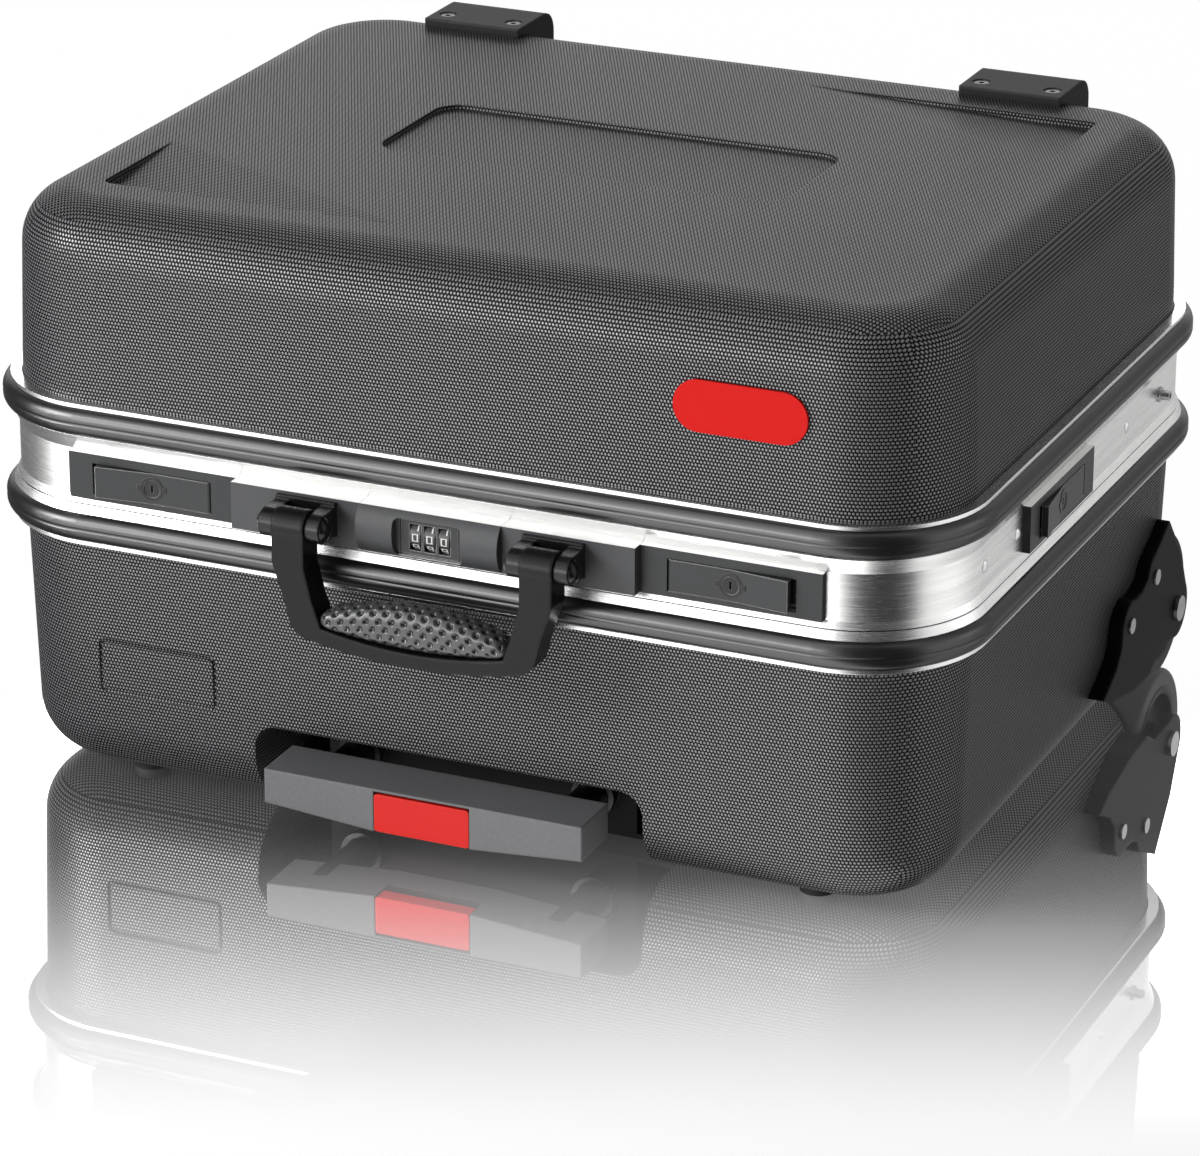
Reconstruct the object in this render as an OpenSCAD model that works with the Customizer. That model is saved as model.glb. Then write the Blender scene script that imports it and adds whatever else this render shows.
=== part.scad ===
/* Hard trolley tool case: two deep moulded shells held in aluminium frames, with a rear hinge, four
   lever latches, a carry handle, a combination lock, wheels and a telescopic pull handle.
   Millimetres, +Z up, front at -Y. Origin: on the floor, under the middle of the whole part. */

/* [Case] */
// Width over the bumpers
case_w = 510; // [480:1:560]
// Depth over the bumpers
case_d = 406; // [390:1:450]
// Corner radius of the bumpers seen from above
corner_r = 65; // [60:1:75]
// Height of the parting line between base and lid
split_z = 150.6; // [145:0.5:165]
// Height of the lid above the parting line
lid_h = 145; // [135:1:170]
// Gap between the floor and the underside of the base
floor_gap = 5; // [4:0.5:6]

/* [Shells] */
// Wall of the two moulded shells
wall = 3; // [2.5:0.25:4]
// Distance of the shells behind the bumper face
shell_inset = 10; // [9.5:0.25:11]
// Draft of the shell walls, degrees
draft = 1.8; // [1:0.1:2.5]
// Radius between the walls and the top or bottom of a shell
edge_r = 28; // [24:1:32]
// Height of a shell's rim inside its frame
rim_grip = 20; // [16:1:24]
// Depth of the two corner pockets in the lid
pocket_deep = 5; // [3:0.5:7]
// Depth of the plain panel sunk in the lid top
panel_deep = 2.4; // [1:0.2:3]
// Depth of the label field on the base
label_deep = 1.2; // [0.6:0.2:1.8]
// Middle of the label field, in from the side of the case
label_in = 101; // [96:1:115]
// Width of the label field
label_w = 64; // [50:1:70]
// Height of the label field
label_h = 28.6; // [20:0.2:34]
// Width of the groove round the label field
label_groove = 1.8; // [1:0.2:2.4]
// Corner radius of the label field
label_r = 4; // [3.5:0.5:6]
// Middle of the label field above the floor
label_z = 65; // [60:1:70]
// Length of a corner pocket along the front or back
pocket_l = 157; // [120:1:160]
// Length of a corner pocket along the side
pocket_w = 73; // [60:1:80]
// Distance of a corner pocket in from the side of the case
pocket_in = 53; // [50:0.5:60]
// Distance of a corner pocket in from the front or back of the case
pocket_back = 58; // [55:0.5:64]
// Margin of the sunk panel in from the sides of the case
panel_side_in = 147; // [130:1:170]
// Margin of the sunk panel in from the front and back of the case
panel_front_in = 161; // [150:1:170]

/* [Frame] */
// Height of the flat band that carries the fittings
band_h = 23.4; // [22:0.2:25]
// Distance of the band behind the bumper face
band_inset = 7.5; // [7:0.25:8.5]
// Distance of the thin lips behind the bumper face
lip_inset = 4; // [3:0.25:5]
// Height of a bumper strip
bumper_h = 14; // [12:0.5:16]
// Depth of the groove along a bumper
bumper_groove = 0.4; // [0.2:0.1:0.8]
// Height of the sloped strip between the band and a bumper
slope_h = 8; // [7:0.5:9]
// Height of the lid frame's foot below the band
foot_h = 3.7; // [3.2:0.1:4.2]
// Thickness of the lips
lip_t = 2; // [1.5:0.25:2.5]
// Wall of the frame's inner leg
leg_t = 1.6; // [1.2:0.1:2]
// Height of the tongue that centres the lid frame
tongue_h = 6.5; // [5:0.5:8]
// Gap between the two closed frames
frame_gap = 0.5; // [0.4:0.1:0.8]

/* [Hinges] */
// Distance of a hinge from the middle
hinge_x = 110; // [90:1:130]
// Length of one hinge knuckle
knuckle_l = 20; // [16:1:24]
// Radius of a hinge knuckle
knuckle_r = 3.4; // [3:0.1:3.6]
// Radius of the hinge pin
hinge_pin_r = 1.5; // [1:0.1:1.8]
// Thickness of the hinge leaves
leaf_t = 1.8; // [1.4:0.1:2]

/* [Latches] */
// Middle of a front latch, in from the side of the case
front_latch_in = 105.8; // [103:0.2:109]
// Middle of a side latch, behind the middle of the case
side_latch_y = -36; // [-50:1:-20]
// Length of a latch plate
latch_l = 90; // [84:1:92]
// Thickness of a latch plate
latch_t = 4; // [3.6:0.2:4.4]
// Length of a latch lever
lever_l = 60.5; // [56:0.5:62]
// Height of a latch lever
lever_h = 15.6; // [14:0.2:17]
// How far the free end of a lever stands out
lever_rise = 3.2; // [2:0.2:4]
// Radius of the lever's pivot pin
lever_pin_r = 0.9; // [0.7:0.1:1.1]
// Radius of a lock plug
plug_r = 4.2; // [3.6:0.1:5]

/* [Carry handle] */
// Half the distance between the handle's arms
arm_x = 63.6; // [62:0.2:65]
// Width of a handle arm at its pivot
arm_w = 16.4; // [15:0.2:17]
// Thickness of the arms
arm_t = 15; // [13:0.5:16]
// Height of the pivot above the middle of the band
pivot_rise = 1.2; // [0:0.2:2]
// Distance of the pivot in front of the band
pivot_out = 23; // [22:0.5:25]
// Radius of the handle's eyes
eye_r = 8.5; // [8:0.1:9]
// Radius of the handle pins
handle_pin_r = 2.4; // [2:0.1:3]
// Drop of the handle's lowest point below its pivot
handle_drop = 59; // [56:0.5:62]
// Thickness of the handle base plates
handle_plate_t = 9.5; // [9:0.25:10]
// Radius of the round ears that hold a handle pin
ear_r = 7; // [6:0.25:7.5]

/* [Combination lock] */
// Width of the lock's cover plate
combo_w = 73; // [70:1:76]
// How far the cover plate bulges
combo_bulge = 5; // [4:0.25:6]
// Radius of a digit wheel
digit_r = 8.5; // [8:0.1:9]
// Width of a digit wheel
digit_w = 5.4; // [5:0.1:6]
// Spacing of the digit wheels
digit_pitch = 7.4; // [7.2:0.1:8]
// Radius of the digit wheels' axle
digit_axle_r = 1.5; // [1:0.1:2]

/* [Feet] */
// Middle of a stand foot, in from the side of the case
foot_in = 105.5; // [100:0.5:115]
// Width of a stand foot
foot_w = 54; // [48:1:60]
// Thickness of a stand foot on the lid
foot_t = 5; // [4:0.5:6]
// Front edge of the stand feet, in from the back of the case
foot_front_in = 43; // [39:1:48]
// How far the stand feet stand out behind the shell
foot_back = 12; // [10:0.25:12.5]
// Radius of the front pads under the base
pad_r = 9; // [7:0.5:11]
// Middle of a front pad, in from the side of the case
pad_in = 77; // [70:1:90]
// Middle of a front pad, in from the front of the case
pad_back = 47; // [44:1:60]

/* [Badge and rivets] */
// Length of the badge
badge_l = 66; // [50:1:80]
// Height of the badge
badge_h = 25; // [18:1:30]
// Thickness of the badge
badge_t = 1.4; // [1:0.1:2]
// Middle of the badge, in from the side of the case
badge_in = 105; // [95:1:130]
// Middle of the badge below the lid's top
badge_drop = 48.6; // [46:0.2:55]
// Radius of a frame rivet's head
rivet_head_r = 3.2; // [2.8:0.1:4]
// Height of a rivet's head
rivet_head_h = 1.2; // [0.8:0.1:1.6]
// Front rivets on the side band, in from the front of the case
rivet_front_in = 71; // [66:1:76]
// Distance between the two front rivets
rivet_step = 44; // [38:1:46]
// Rear rivet on the side band, in from the back of the case
rivet_rear_in = 133; // [120:1:150]

/* [Wheels] */
// Radius of the wheels
wheel_r = 38; // [36:0.5:39]
// Width of a wheel
wheel_w = 28; // [22:1:30]
// Outer face of a wheel, in from the side of the case
wheel_in = 13; // [12:0.5:17]
// Distance of the wheel axle in from the back of the case
axle_in = 45; // [43:0.5:47]
// Radius of the wheel axles
axle_r = 4; // [3:0.25:5]
// Outer face of the wheel housings, in from the side of the case
housing_in = 4.5; // [2:0.25:4.5]
// Thickness of a wheel housing's side plate
housing_t = 4.5; // [4:0.25:7]
// Gap between a wheel and the inside of its housing
wheel_gap = 3; // [2.5:0.25:4]

/* [Pull handle] */
// Half the width of the tunnel under the base
tunnel_x = 102; // [98:1:106]
// Height of the tunnel's ceiling
tunnel_z = 48; // [46:0.5:52]
// Half the distance between the telescopic tubes
tube_x = 62; // [56:1:66]
// Height of the tubes above the floor
tube_z = 27; // [25:0.5:29]
// Outer radius of the fixed tubes
tube_r = 11; // [10.5:0.25:12]
// Wall of the tubes
tube_wall = 1.2; // [1:0.1:1.4]
// Sliding clearance between the tubes
tube_gap = 0.3; // [0.25:0.05:0.4]
// Travel of each telescopic stage
stage_travel = 230; // [180:5:235]
// Half the length of the grip bar
grip_x = 83; // [80:1:88]
// Depth of the grip bar
grip_deep = 30.5; // [28:0.5:32]
// How far the grip bar stands out in front of the shell
grip_out = 24.5; // [22:0.5:27]
// Travel of the release button
button_travel = 3; // [2:0.5:4]

/* [Hidden] */
$fn = 64;

// Clearances
run_gap = 0.05;       // shaft in a running bore
free_gap = 0.3;       // between curved faces that move past each other
slot_gap = 0.35;      // around a lever, button or wheel in its window
seam_gap = 0.2;       // between plates that stand side by side
cut = 1;              // overshoot of a cut past a face

// Frame levels: u is the distance out from a corner's axis, z the height
corner_x = case_w / 2 - corner_r;
corner_y = case_d / 2 - corner_r;
u_lip = corner_r - lip_inset;
u_band = corner_r - band_inset;
u_shell = corner_r - shell_inset;
u_rim = u_shell + 0.4;
u_inner = u_shell - wall / cos(draft);
u_leg = u_inner - 0.3;
band_y = corner_y + u_band;
band_x = corner_x + u_band;
front_latch_x = case_w / 2 - front_latch_in;
foot_x = case_w / 2 - foot_in;
foot_front_y = case_d / 2 - foot_front_in;
lid_foot_z = split_z + frame_gap / 2;
band_low = split_z + foot_h + frame_gap / 2;
band_high = band_low + band_h;
band_mid = (band_low + band_high) / 2;
lid_shelf = band_high + slope_h;
lid_rim = lid_shelf + bumper_h;
base_top = split_z - frame_gap / 2;
base_shelf = base_top - slope_h + foot_h;
base_rim = base_shelf - bumper_h;
lid_top = split_z + lid_h;
lid_seat = lid_rim + lip_t - rim_grip - lip_t;
base_seat = base_rim - lip_t + rim_grip - 3;
leg_rise = 10;
slope_u = (u_lip - u_band) / slope_h;
u_foot = u_band + slope_u * foot_h;
u_tongue = u_rim - 0.6;
tongue_t = 1.6;
seal_w = 1.6;
seal_h = 1.2;
front_y = -(corner_y + u_shell);
frame_shift = (band_y + pivot_out + eye_r - corner_y - u_shell - foot_back) / 2;

// Hinge axis
hinge_y = case_d / 2 - knuckle_r - 0.1;
hinge_notch = knuckle_r + 0.4;
hinge_len = 3 * knuckle_l + 1;
leaf_h = 20;

// Lid stay: its base pivot lies on the circle that the lid's stud runs on about the hinge, so the
// arm turns exactly half as far as the lid
stud_y = hinge_y - 78;
stud_z = band_mid;
stud_r = 2.5;
stay_r = norm([stud_y - hinge_y, stud_z - split_z]);
stay_pivot_y = hinge_y - stay_r * cos(20);
stay_pivot_z = split_z - stay_r * sin(20);
stay_closed = norm([stud_y - stay_pivot_y, stud_z - stay_pivot_z]);
stay_open = 142;
stay_angle = atan2(stud_z - stay_pivot_z, stud_y - stay_pivot_y);
stay_t = 2.5;
stay_w = 13;
stay_x = corner_x + u_leg - leg_t - 7.2;
stay_pin_r = 3;

// Latch places
lever_z = band_mid - 1;
lever_t = 3.6;
lever_back = 0.7;
lever_eye_r = lever_t / 2;
lever_x0 = -lever_l / 2 - 1;
tab_x = 8;
tab_w = 5;
tab_h = 6;
tab_deep = 7.2;
tab_window = 10;
tab_z = lever_z;
keeper_w = 16;
keeper_t = 1.5;
keeper_rise = 6;
plug_deep = 2.6;

// Handle and lock places
pivot_y = -(band_y + pivot_out);
pivot_z = band_mid + pivot_rise;
plate_face = band_y + handle_plate_t;
handle_plate_in = combo_w / 2 + seam_gap;
handle_plate_out = front_latch_x - latch_l / 2 - seam_gap;
ear_in = arm_x - arm_w / 2 - free_gap;
ear_out = arm_x + arm_w / 2 + free_gap;
ear_len = 7;
digit_z = lever_z;
digit_y = -(plate_face + 0.6 - digit_r);
dial_w = 3 * digit_pitch + 1.2;
dial_panel_w = 35;
dial_panel_h = 19;
cheek_t = 2.6;

// Wheel places
axle_z = wheel_r;
axle_y = case_d / 2 - axle_in;
wheel_face_x = case_w / 2 - wheel_in;
housing_x = case_w / 2 - housing_in;
well_r = wheel_r + wheel_gap + 3;
well_x = wheel_face_x - wheel_w - 7;
arm_in_x = housing_x - housing_t;
flange_x = case_w / 2 - 24;
lobe_r = 15.5;
rivet_front = [axle_y - 76, axle_z + 18.5];
rivet_rear = [axle_y - 38, axle_z + 31];
rivet_r = 4;

// Pull handle places
tunnel_back = case_d / 2 - 63;
cover_t = 2.5;
bracket_t = 14;
bracket_x = 82;
tunnel_front = front_y + 43;
bracket_back = tunnel_back - bracket_t - 4;
middle_r = tube_r - tube_wall - tube_gap;
inner_r = middle_r - tube_wall - tube_gap;
rod_r = 2;
middle_front = tunnel_front - 8;
outer_back = bracket_back + bracket_t;
middle_back = outer_back - 8;
inner_back = middle_back - 10;
grip_front = front_y - grip_out;
grip_rear = grip_front + grip_deep;
grip_top = 39;
grip_low = 17;
grip_end_low = 21.5;
grip_flat = 26;
button_x = 24.8;
button_low = 17.2;
button_top = 36.4;
button_deep = 8;
yoke_t = 3.5;
yoke_h = 4;
tube_socket = 14.5;
spring_r = 3;
spring_l = 7;

// Section helpers ------------------------------------------------------------------------------

// Moves a piece drawn about the middle of the case so that the whole part is centred on the origin
module in_frame() { translate([0, frame_shift, 0]) children(); }

// Carries a section (x = distance out from the corner axis, y = height) once round the case
module around() {
    for (k = [0 : 3]) {
        along = k % 2 == 0 ? corner_x : corner_y;
        out = k % 2 == 0 ? corner_y : corner_x;
        rotate([0, 0, 90 * k]) {
            translate([along, out, 0]) rotate_extrude(angle = 90) children();
            translate([-along, out, 0]) rotate([90, 0, 90]) linear_extrude(2 * along) children();
        }
    }
}

// Half section of a shell: rim at height 0, skirt below it, crown at tall, sunk by off
module dome_section(off, tall, skirt) {
    r = edge_r - off;
    side_u = u_shell - off / cos(draft);
    arc_h = tall - edge_r;
    arc_u = u_shell - arc_h * tan(draft) - edge_r / cos(draft);
    polygon([[0, -skirt], [side_u, -skirt], [side_u, 0],
             [arc_u + r * cos(draft), arc_h + r * sin(draft)], [arc_u, arc_h],
             [arc_u, tall - off], [0, tall - off]]);
    intersection() {
        translate([arc_u, arc_h]) circle(r);
        translate([0, arc_h - cut]) square([u_shell, r + 2 * cut]);
    }
}

// Solid block inside a shell's face that lies off millimetres behind its outside
module dome(off, tall, skirt) {
    around() dome_section(off, tall, skirt);
    translate([-corner_x, -corner_y, -skirt])
        cube([2 * corner_x, 2 * corner_y, skirt + tall - off]);
}

module lid_dome(off, skirt) {
    rim = lid_rim + lip_t;
    translate([0, 0, rim]) dome(off, lid_top - rim, skirt);
}

module base_dome(off, skirt) {
    rim = base_rim - lip_t;
    translate([0, 0, rim]) mirror([0, 0, 1]) dome(off, rim - floor_gap, skirt);
}

// Rectangle with round corners, centred
module round_rect(w, h, r) {
    square([w, h - 2 * r], center = true);
    square([w - 2 * r, h], center = true);
    for (x = [-1, 1], y = [-1, 1]) translate([x * (w / 2 - r), y * (h / 2 - r)]) circle(r);
}

// Places children at both sides of the middle plane
module both() {
    children();
    mirror([1, 0, 0]) children();
}

// A shaft or bore along X from x0 to x1 at height z and depth y
module bar_x(x0, x1, y, z, r) {
    translate([x0, y, z]) rotate([0, 90, 0]) cylinder(r = r, h = x1 - x0);
}

// A shaft or bore along Y
module bar_y(y0, y1, x, z, r) {
    translate([x, y0, z]) rotate([-90, 0, 0]) cylinder(r = r, h = y1 - y0);
}

// Puts a latch part, drawn with its face at -Y and its free end at +X, on each of its places
module at_front_right() { translate([front_latch_x, -band_y, 0]) children(); }
module at_front_left() { mirror([1, 0, 0]) at_front_right() children(); }
module at_side_right() {
    translate([band_x, side_latch_y, 0]) rotate([0, 0, 90]) mirror([1, 0, 0]) children();
}
module at_side_left() { mirror([1, 0, 0]) at_side_right() children(); }

// Shells ---------------------------------------------------------------------------------------

// Ramped pocket in a lid corner: deepest in the corner, level with the lid along its diagonal
module pocket(grow) {
    corner = [case_w / 2 - pocket_in, case_d / 2 - pocket_back];
    run_x = pocket_l;
    run_y = pocket_w;
    round_r = 5 + grow;
    slope = atan(pocket_deep * norm([run_x, run_y]) / (run_x * run_y));
    reach = 2 * run_x;
    intersection() {
        translate([-corner[0] - grow, -corner[1] - grow, lid_top - 30]) linear_extrude(31) {
            translate([round_r, round_r]) circle(round_r);
            translate([round_r, 0]) square([reach, reach]);
            translate([0, round_r]) square([reach, reach]);
        }
        translate([-corner[0], -corner[1] + run_y, lid_top - grow])
            rotate([0, 0, -atan2(run_y, run_x)])
                rotate([slope, 0, 0])
                    translate([-reach, -reach, 0]) cube([3 * reach, reach + grow * 20, 40]);
    }
}

module pockets(grow) {
    pocket(grow);
    rotate([0, 0, 180]) pocket(grow);
}

// Plain sunk field in the lid top
module lid_panel(grow) {
    w = case_w - 2 * panel_side_in + 2 * grow;
    d = case_d - 2 * panel_front_in + 2 * grow;
    translate([0, 0, lid_top - panel_deep - grow])
        linear_extrude(panel_deep + grow + cut) round_rect(w, d, 14 + grow);
}

module lid_shell() {
    skirt = lid_rim + lip_t - lid_seat;
    color([0.16, 0.165, 0.17]) in_frame()
    difference() {
        lid_dome(0, skirt);
        difference() {
            lid_dome(wall, skirt + cut);
            pockets(wall);
            lid_panel(wall);
        }
        pockets(0);
        lid_panel(0);
        foot_screw_places() translate([0, 0, lid_top - 2 * wall]) cylinder(r = screw_r + 0.2, h = 4 * wall);
    }
}

// Tunnel for the pull handle: open at the front and below
module tunnel(grow) {
    top_r = 12;
    w = 2 * (tunnel_x + grow);
    translate([0, tunnel_back + grow, 0]) rotate([90, 0, 0])
        linear_extrude(tunnel_back + grow - front_y + 20) {
            translate([-w / 2, -5]) square([w, tunnel_z + grow + 5 - top_r]);
            translate([-w / 2 + top_r, -5]) square([w - 2 * top_r, tunnel_z + grow + 5]);
            for (x = [-1, 1]) translate([x * (w / 2 - top_r), tunnel_z + grow - top_r]) circle(top_r);
        }
}

// Round wheel well in a rear corner
module wells(grow) {
    both() bar_x(well_x - grow, case_w / 2 + 10, axle_y, axle_z, well_r + grow);
}

module base_shell() {
    skirt = base_seat - base_rim + lip_t;
    color([0.16, 0.165, 0.17]) in_frame()
    difference() {
        base_dome(0, skirt);
        difference() {
            base_dome(wall, skirt + cut);
            tunnel(wall);
            wells(wall);
        }
        tunnel(0);
        wells(0);
        label_field();
    }
}

module label_field() {
    face = front_y + (base_rim - lip_t - label_z) * tan(draft);
    rim = 2 * label_groove;
    translate([label_in - case_w / 2, face + label_deep, label_z]) rotate([90, 0, 0])
        linear_extrude(20) difference() {
            round_rect(label_w, label_h, label_r);
            round_rect(label_w - rim, label_h - rim, label_r - label_groove);
        }
}

// Frames, bumpers and seal ---------------------------------------------------------------------

module bumper_section(z0) {
    r = 5.5;
    groove_r = 1.5;
    back = u_band + 0.3;
    nose = corner_r - r;
    difference() {
        union() {
            translate([back, z0]) square([nose - back, bumper_h]);
            translate([back, z0 + r]) square([corner_r - back, bumper_h - 2 * r]);
            for (z = [z0 + r, z0 + bumper_h - r]) intersection() {
                translate([nose, z]) circle(r);
                translate([back, z0]) square([r + nose - back, bumper_h]);
            }
        }
        translate([corner_r + groove_r - bumper_groove, z0 + bumper_h / 2]) circle(groove_r);
    }
}

module hinge_cut() {
    both() translate([hinge_x - hinge_len / 2, 0, 0]) {
        bar_x(0, hinge_len, hinge_y, split_z, hinge_notch);
        translate([0, band_y - 0.1, split_z - leaf_h]) cube([hinge_len, leaf_t + 0.4, leaf_h]);
        translate([0, band_y - 0.1, split_z - 4.2]) cube([hinge_len, 20, foot_h + 4.4]);
    }
}

module frame_windows() {
    latch_places() translate([lever_x0 + tab_x + lever_eye_r - 1.5, -cut, tab_z - tab_h / 2 - 1.5])
        cube([tab_window, 6, tab_h + 3]);
    translate([-dial_w / 2 - 4, -band_y - cut, band_low + 1.5]) cube([dial_w + 8, 6, band_h - 3]);
    both() bar_x(band_x - 4, band_x + 2, stud_y, stud_z, stud_r + 0.02);
}

module latch_places() {
    at_front_right() children();
    at_front_left() children();
    at_side_right() children();
    at_side_left() children();
}

module lid_frame() {
    color([0.78, 0.78, 0.77]) in_frame()
    difference() {
        around() polygon([[u_foot, lid_foot_z], [u_band, band_low], [u_band, band_high],
            [u_lip, lid_shelf], [u_band, lid_shelf], [u_band, lid_rim], [u_lip, lid_rim],
            [u_lip, lid_rim + lip_t], [u_rim, lid_rim + lip_t], [u_rim, lid_seat], [u_leg, lid_seat],
            [u_leg, lid_seat + leg_rise], [u_leg - leg_t, lid_seat + leg_rise],
            [u_leg - leg_t, lid_seat - 2], [u_rim, lid_seat - 2], [u_rim, lid_foot_z]]);
        hinge_cut();
        frame_windows();
    }
}

module lid_bumper() {
    color([0.06, 0.06, 0.065]) in_frame() around() bumper_section(lid_shelf);
}

module base_frame() {
    seal_in = u_foot - 2.8;
    color([0.78, 0.78, 0.77]) in_frame()
    difference() {
        around() polygon([[u_foot, base_top], [u_lip, base_shelf], [u_band, base_shelf],
            [u_band, base_rim], [u_lip, base_rim], [u_lip, base_rim - lip_t],
            [u_rim, base_rim - lip_t], [u_rim, base_seat], [u_leg, base_seat],
            [u_leg, base_seat - leg_rise], [u_leg - leg_t, base_seat - leg_rise],
            [u_leg - leg_t, base_seat + 2], [u_tongue - tongue_t, base_seat + 2],
            [u_tongue - tongue_t, base_top + tongue_h], [u_tongue, base_top + tongue_h],
            [u_tongue, base_top], [seal_in, base_top], [seal_in, base_top - seal_h],
            [seal_in + seal_w, base_top - seal_h], [seal_in + seal_w, base_top]]);
        hinge_cut();
    }
}

module base_bumper() {
    color([0.06, 0.06, 0.065]) in_frame()
    difference() {
        around() bumper_section(base_rim);
        hinge_cut();
    }
}

module frame_seal() {
    seal_in = u_foot - 2.8;
    color([0.03, 0.03, 0.03]) in_frame()
    difference() {
        around() translate([seal_in, base_top - seal_h]) square([seal_w, seal_h + frame_gap - 0.2]);
        hinge_cut();
    }
}

// Hinges ---------------------------------------------------------------------------------------

module knuckle(x0) {
    bar_x(x0 + 0.2, x0 + knuckle_l - 0.2, hinge_y, split_z, knuckle_r);
}

module hinge_base_leaves() {
    leaf_x = hinge_x - 1.5 * knuckle_l;
    color([0.55, 0.55, 0.56]) in_frame()
    both() difference() {
        union() {
            for (i = [0, 2]) {
                knuckle(leaf_x + i * knuckle_l);
                translate([leaf_x + i * knuckle_l + 0.2, band_y, split_z - leaf_h + 2])
                    cube([knuckle_l - 0.4, leaf_t, leaf_h - 2]);
                translate([leaf_x + i * knuckle_l + 0.2, band_y, split_z - 2])
                    cube([knuckle_l - 0.4, hinge_y - band_y, 2]);
            }
        }
        bar_x(leaf_x - cut, leaf_x + 3 * knuckle_l + cut, hinge_y, split_z, hinge_pin_r + run_gap / 2);
    }
}

module hinge_lid_leaves() {
    leaf_x = hinge_x - 1.5 * knuckle_l;
    color([0.55, 0.55, 0.56]) in_frame()
    both() difference() {
        union() {
            knuckle(leaf_x + knuckle_l);
            translate([leaf_x + knuckle_l + 0.2, band_y, split_z]) cube([knuckle_l - 0.4, leaf_t, 6]);
            translate([leaf_x + knuckle_l + 0.2, band_y, split_z])
                cube([knuckle_l - 0.4, hinge_y - band_y, 2]);
            translate([leaf_x, band_y, split_z + hinge_notch + 1])
                cube([3 * knuckle_l, leaf_t, leaf_h - hinge_notch]);
        }
        bar_x(leaf_x - cut, leaf_x + 3 * knuckle_l + cut, hinge_y, split_z, hinge_pin_r + run_gap);
    }
}

module hinge_pins() {
    leaf_x = hinge_x - 1.5 * knuckle_l;
    color([0.6, 0.6, 0.62]) in_frame()
    both() bar_x(leaf_x, leaf_x + 3 * knuckle_l, hinge_y, split_z, hinge_pin_r);
}

// Lid stays ------------------------------------------------------------------------------------

module stay_brackets() {
    plate_x = corner_x + u_leg - leg_t - 2;
    color([0.6, 0.6, 0.62]) in_frame()
    both() {
        translate([plate_x, stay_pivot_y - 12, stay_pivot_z - 8])
            cube([2, 24, base_seat - stay_pivot_z + 8]);
        bar_x(stay_x - 1.5, plate_x + 1, stay_pivot_y, stay_pivot_z, stay_pin_r);
        bar_x(stay_x - 3, stay_x - free_gap, stay_pivot_y, stay_pivot_z, stay_pin_r + 2);
    }
}

module stay_studs() {
    color([0.72, 0.72, 0.74]) in_frame()
    both() difference() {
        union() {
            bar_x(stay_x - 1.5, band_x + 5.5, stud_y, stud_z, stud_r);
            bar_x(stay_x - 3, stay_x - free_gap, stud_y, stud_z, stud_r + 2);
            bar_x(band_x, band_x + 1, stud_y, stud_z, stud_r + 1.5);
        }
        bar_x(band_x + 1, band_x + 6, stud_y, stud_z, stud_r - 1);
    }
}

// Slotted arm on its base pivot, with its slot over the lid's stud
module stay_arm() {
    color([0.6, 0.6, 0.62]) in_frame()
    translate([stay_x, stay_pivot_y, stay_pivot_z]) rotate([90, 0, 90])
        rotate([0, 0, stay_angle]) linear_extrude(stay_t) difference() {
            union() {
                circle(stay_w / 2);
                translate([0, -stay_w / 2]) square([stay_open + 6, stay_w]);
                translate([stay_open + 6, 0]) circle(stay_w / 2);
            }
            circle(stay_pin_r + run_gap);
            translate([stay_closed, -stud_r - free_gap])
                square([stay_open - stay_closed, 2 * (stud_r + free_gap)]);
            for (d = [stay_closed, stay_open]) translate([d, 0]) circle(stud_r + free_gap);
        }
}

module stay_arm_right() { stay_arm(); }
module stay_arm_left() { mirror([1, 0, 0]) stay_arm(); }

// Latches --------------------------------------------------------------------------------------

module latch_plate() {
    window_x = lever_x0 - slot_gap;
    difference() {
        translate([-latch_l / 2, -latch_t, band_low]) cube([latch_l, latch_t, band_h]);
        translate([window_x, -latch_t - cut, lever_z - lever_h / 2 - slot_gap])
            cube([lever_l + slot_gap + 3, latch_t + 2 * cut, lever_h + 2 * slot_gap]);
    }
    translate([lever_x0 + lever_eye_r, -lever_back - lever_eye_r, band_low])
        cylinder(r = lever_pin_r, h = band_h);
}

module latch_lever() {
    eye_x = lever_x0 + lever_eye_r;
    eye_y = -lever_back - lever_eye_r;
    low = lever_z - lever_h / 2;
    difference() {
        union() {
            translate([eye_x, eye_y, low]) cylinder(r = lever_eye_r, h = lever_h);
            translate([0, 0, low]) linear_extrude(lever_h)
                polygon([[eye_x, -lever_back], [eye_x, -lever_back - lever_t],
                         [0, -lever_back - lever_t],
                         [lever_x0 + lever_l, -lever_back - lever_t - lever_rise],
                         [lever_x0 + lever_l, -lever_back - lever_rise], [6, -lever_back]]);
            translate([eye_x + tab_x, -lever_back - 1, tab_z - tab_h / 2])
                cube([tab_w, tab_deep + 1, tab_h]);
        }
        translate([eye_x, eye_y, low - cut])
            cylinder(r = lever_pin_r + run_gap, h = lever_h + 2 * cut);
        bar_y(-lever_back - lever_t - cut, -lever_back - lever_t + plug_deep + 0.1,
              0, lever_z, plug_r + run_gap);
    }
}

module lock_plug() {
    face = -lever_back - lever_t;
    difference() {
        bar_y(face, face + plug_deep, 0, lever_z, plug_r);
        translate([-0.6, face - cut, lever_z - 2]) cube([1.2, 2.6, 4]);
    }
}

module front_latch_plates() {
    color([0.2, 0.205, 0.21]) in_frame() {
        at_front_right() latch_plate();
        at_front_left() latch_plate();
    }
}

module side_latch_plates() {
    color([0.2, 0.205, 0.21]) in_frame() {
        at_side_right() latch_plate();
        at_side_left() latch_plate();
    }
}

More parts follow.
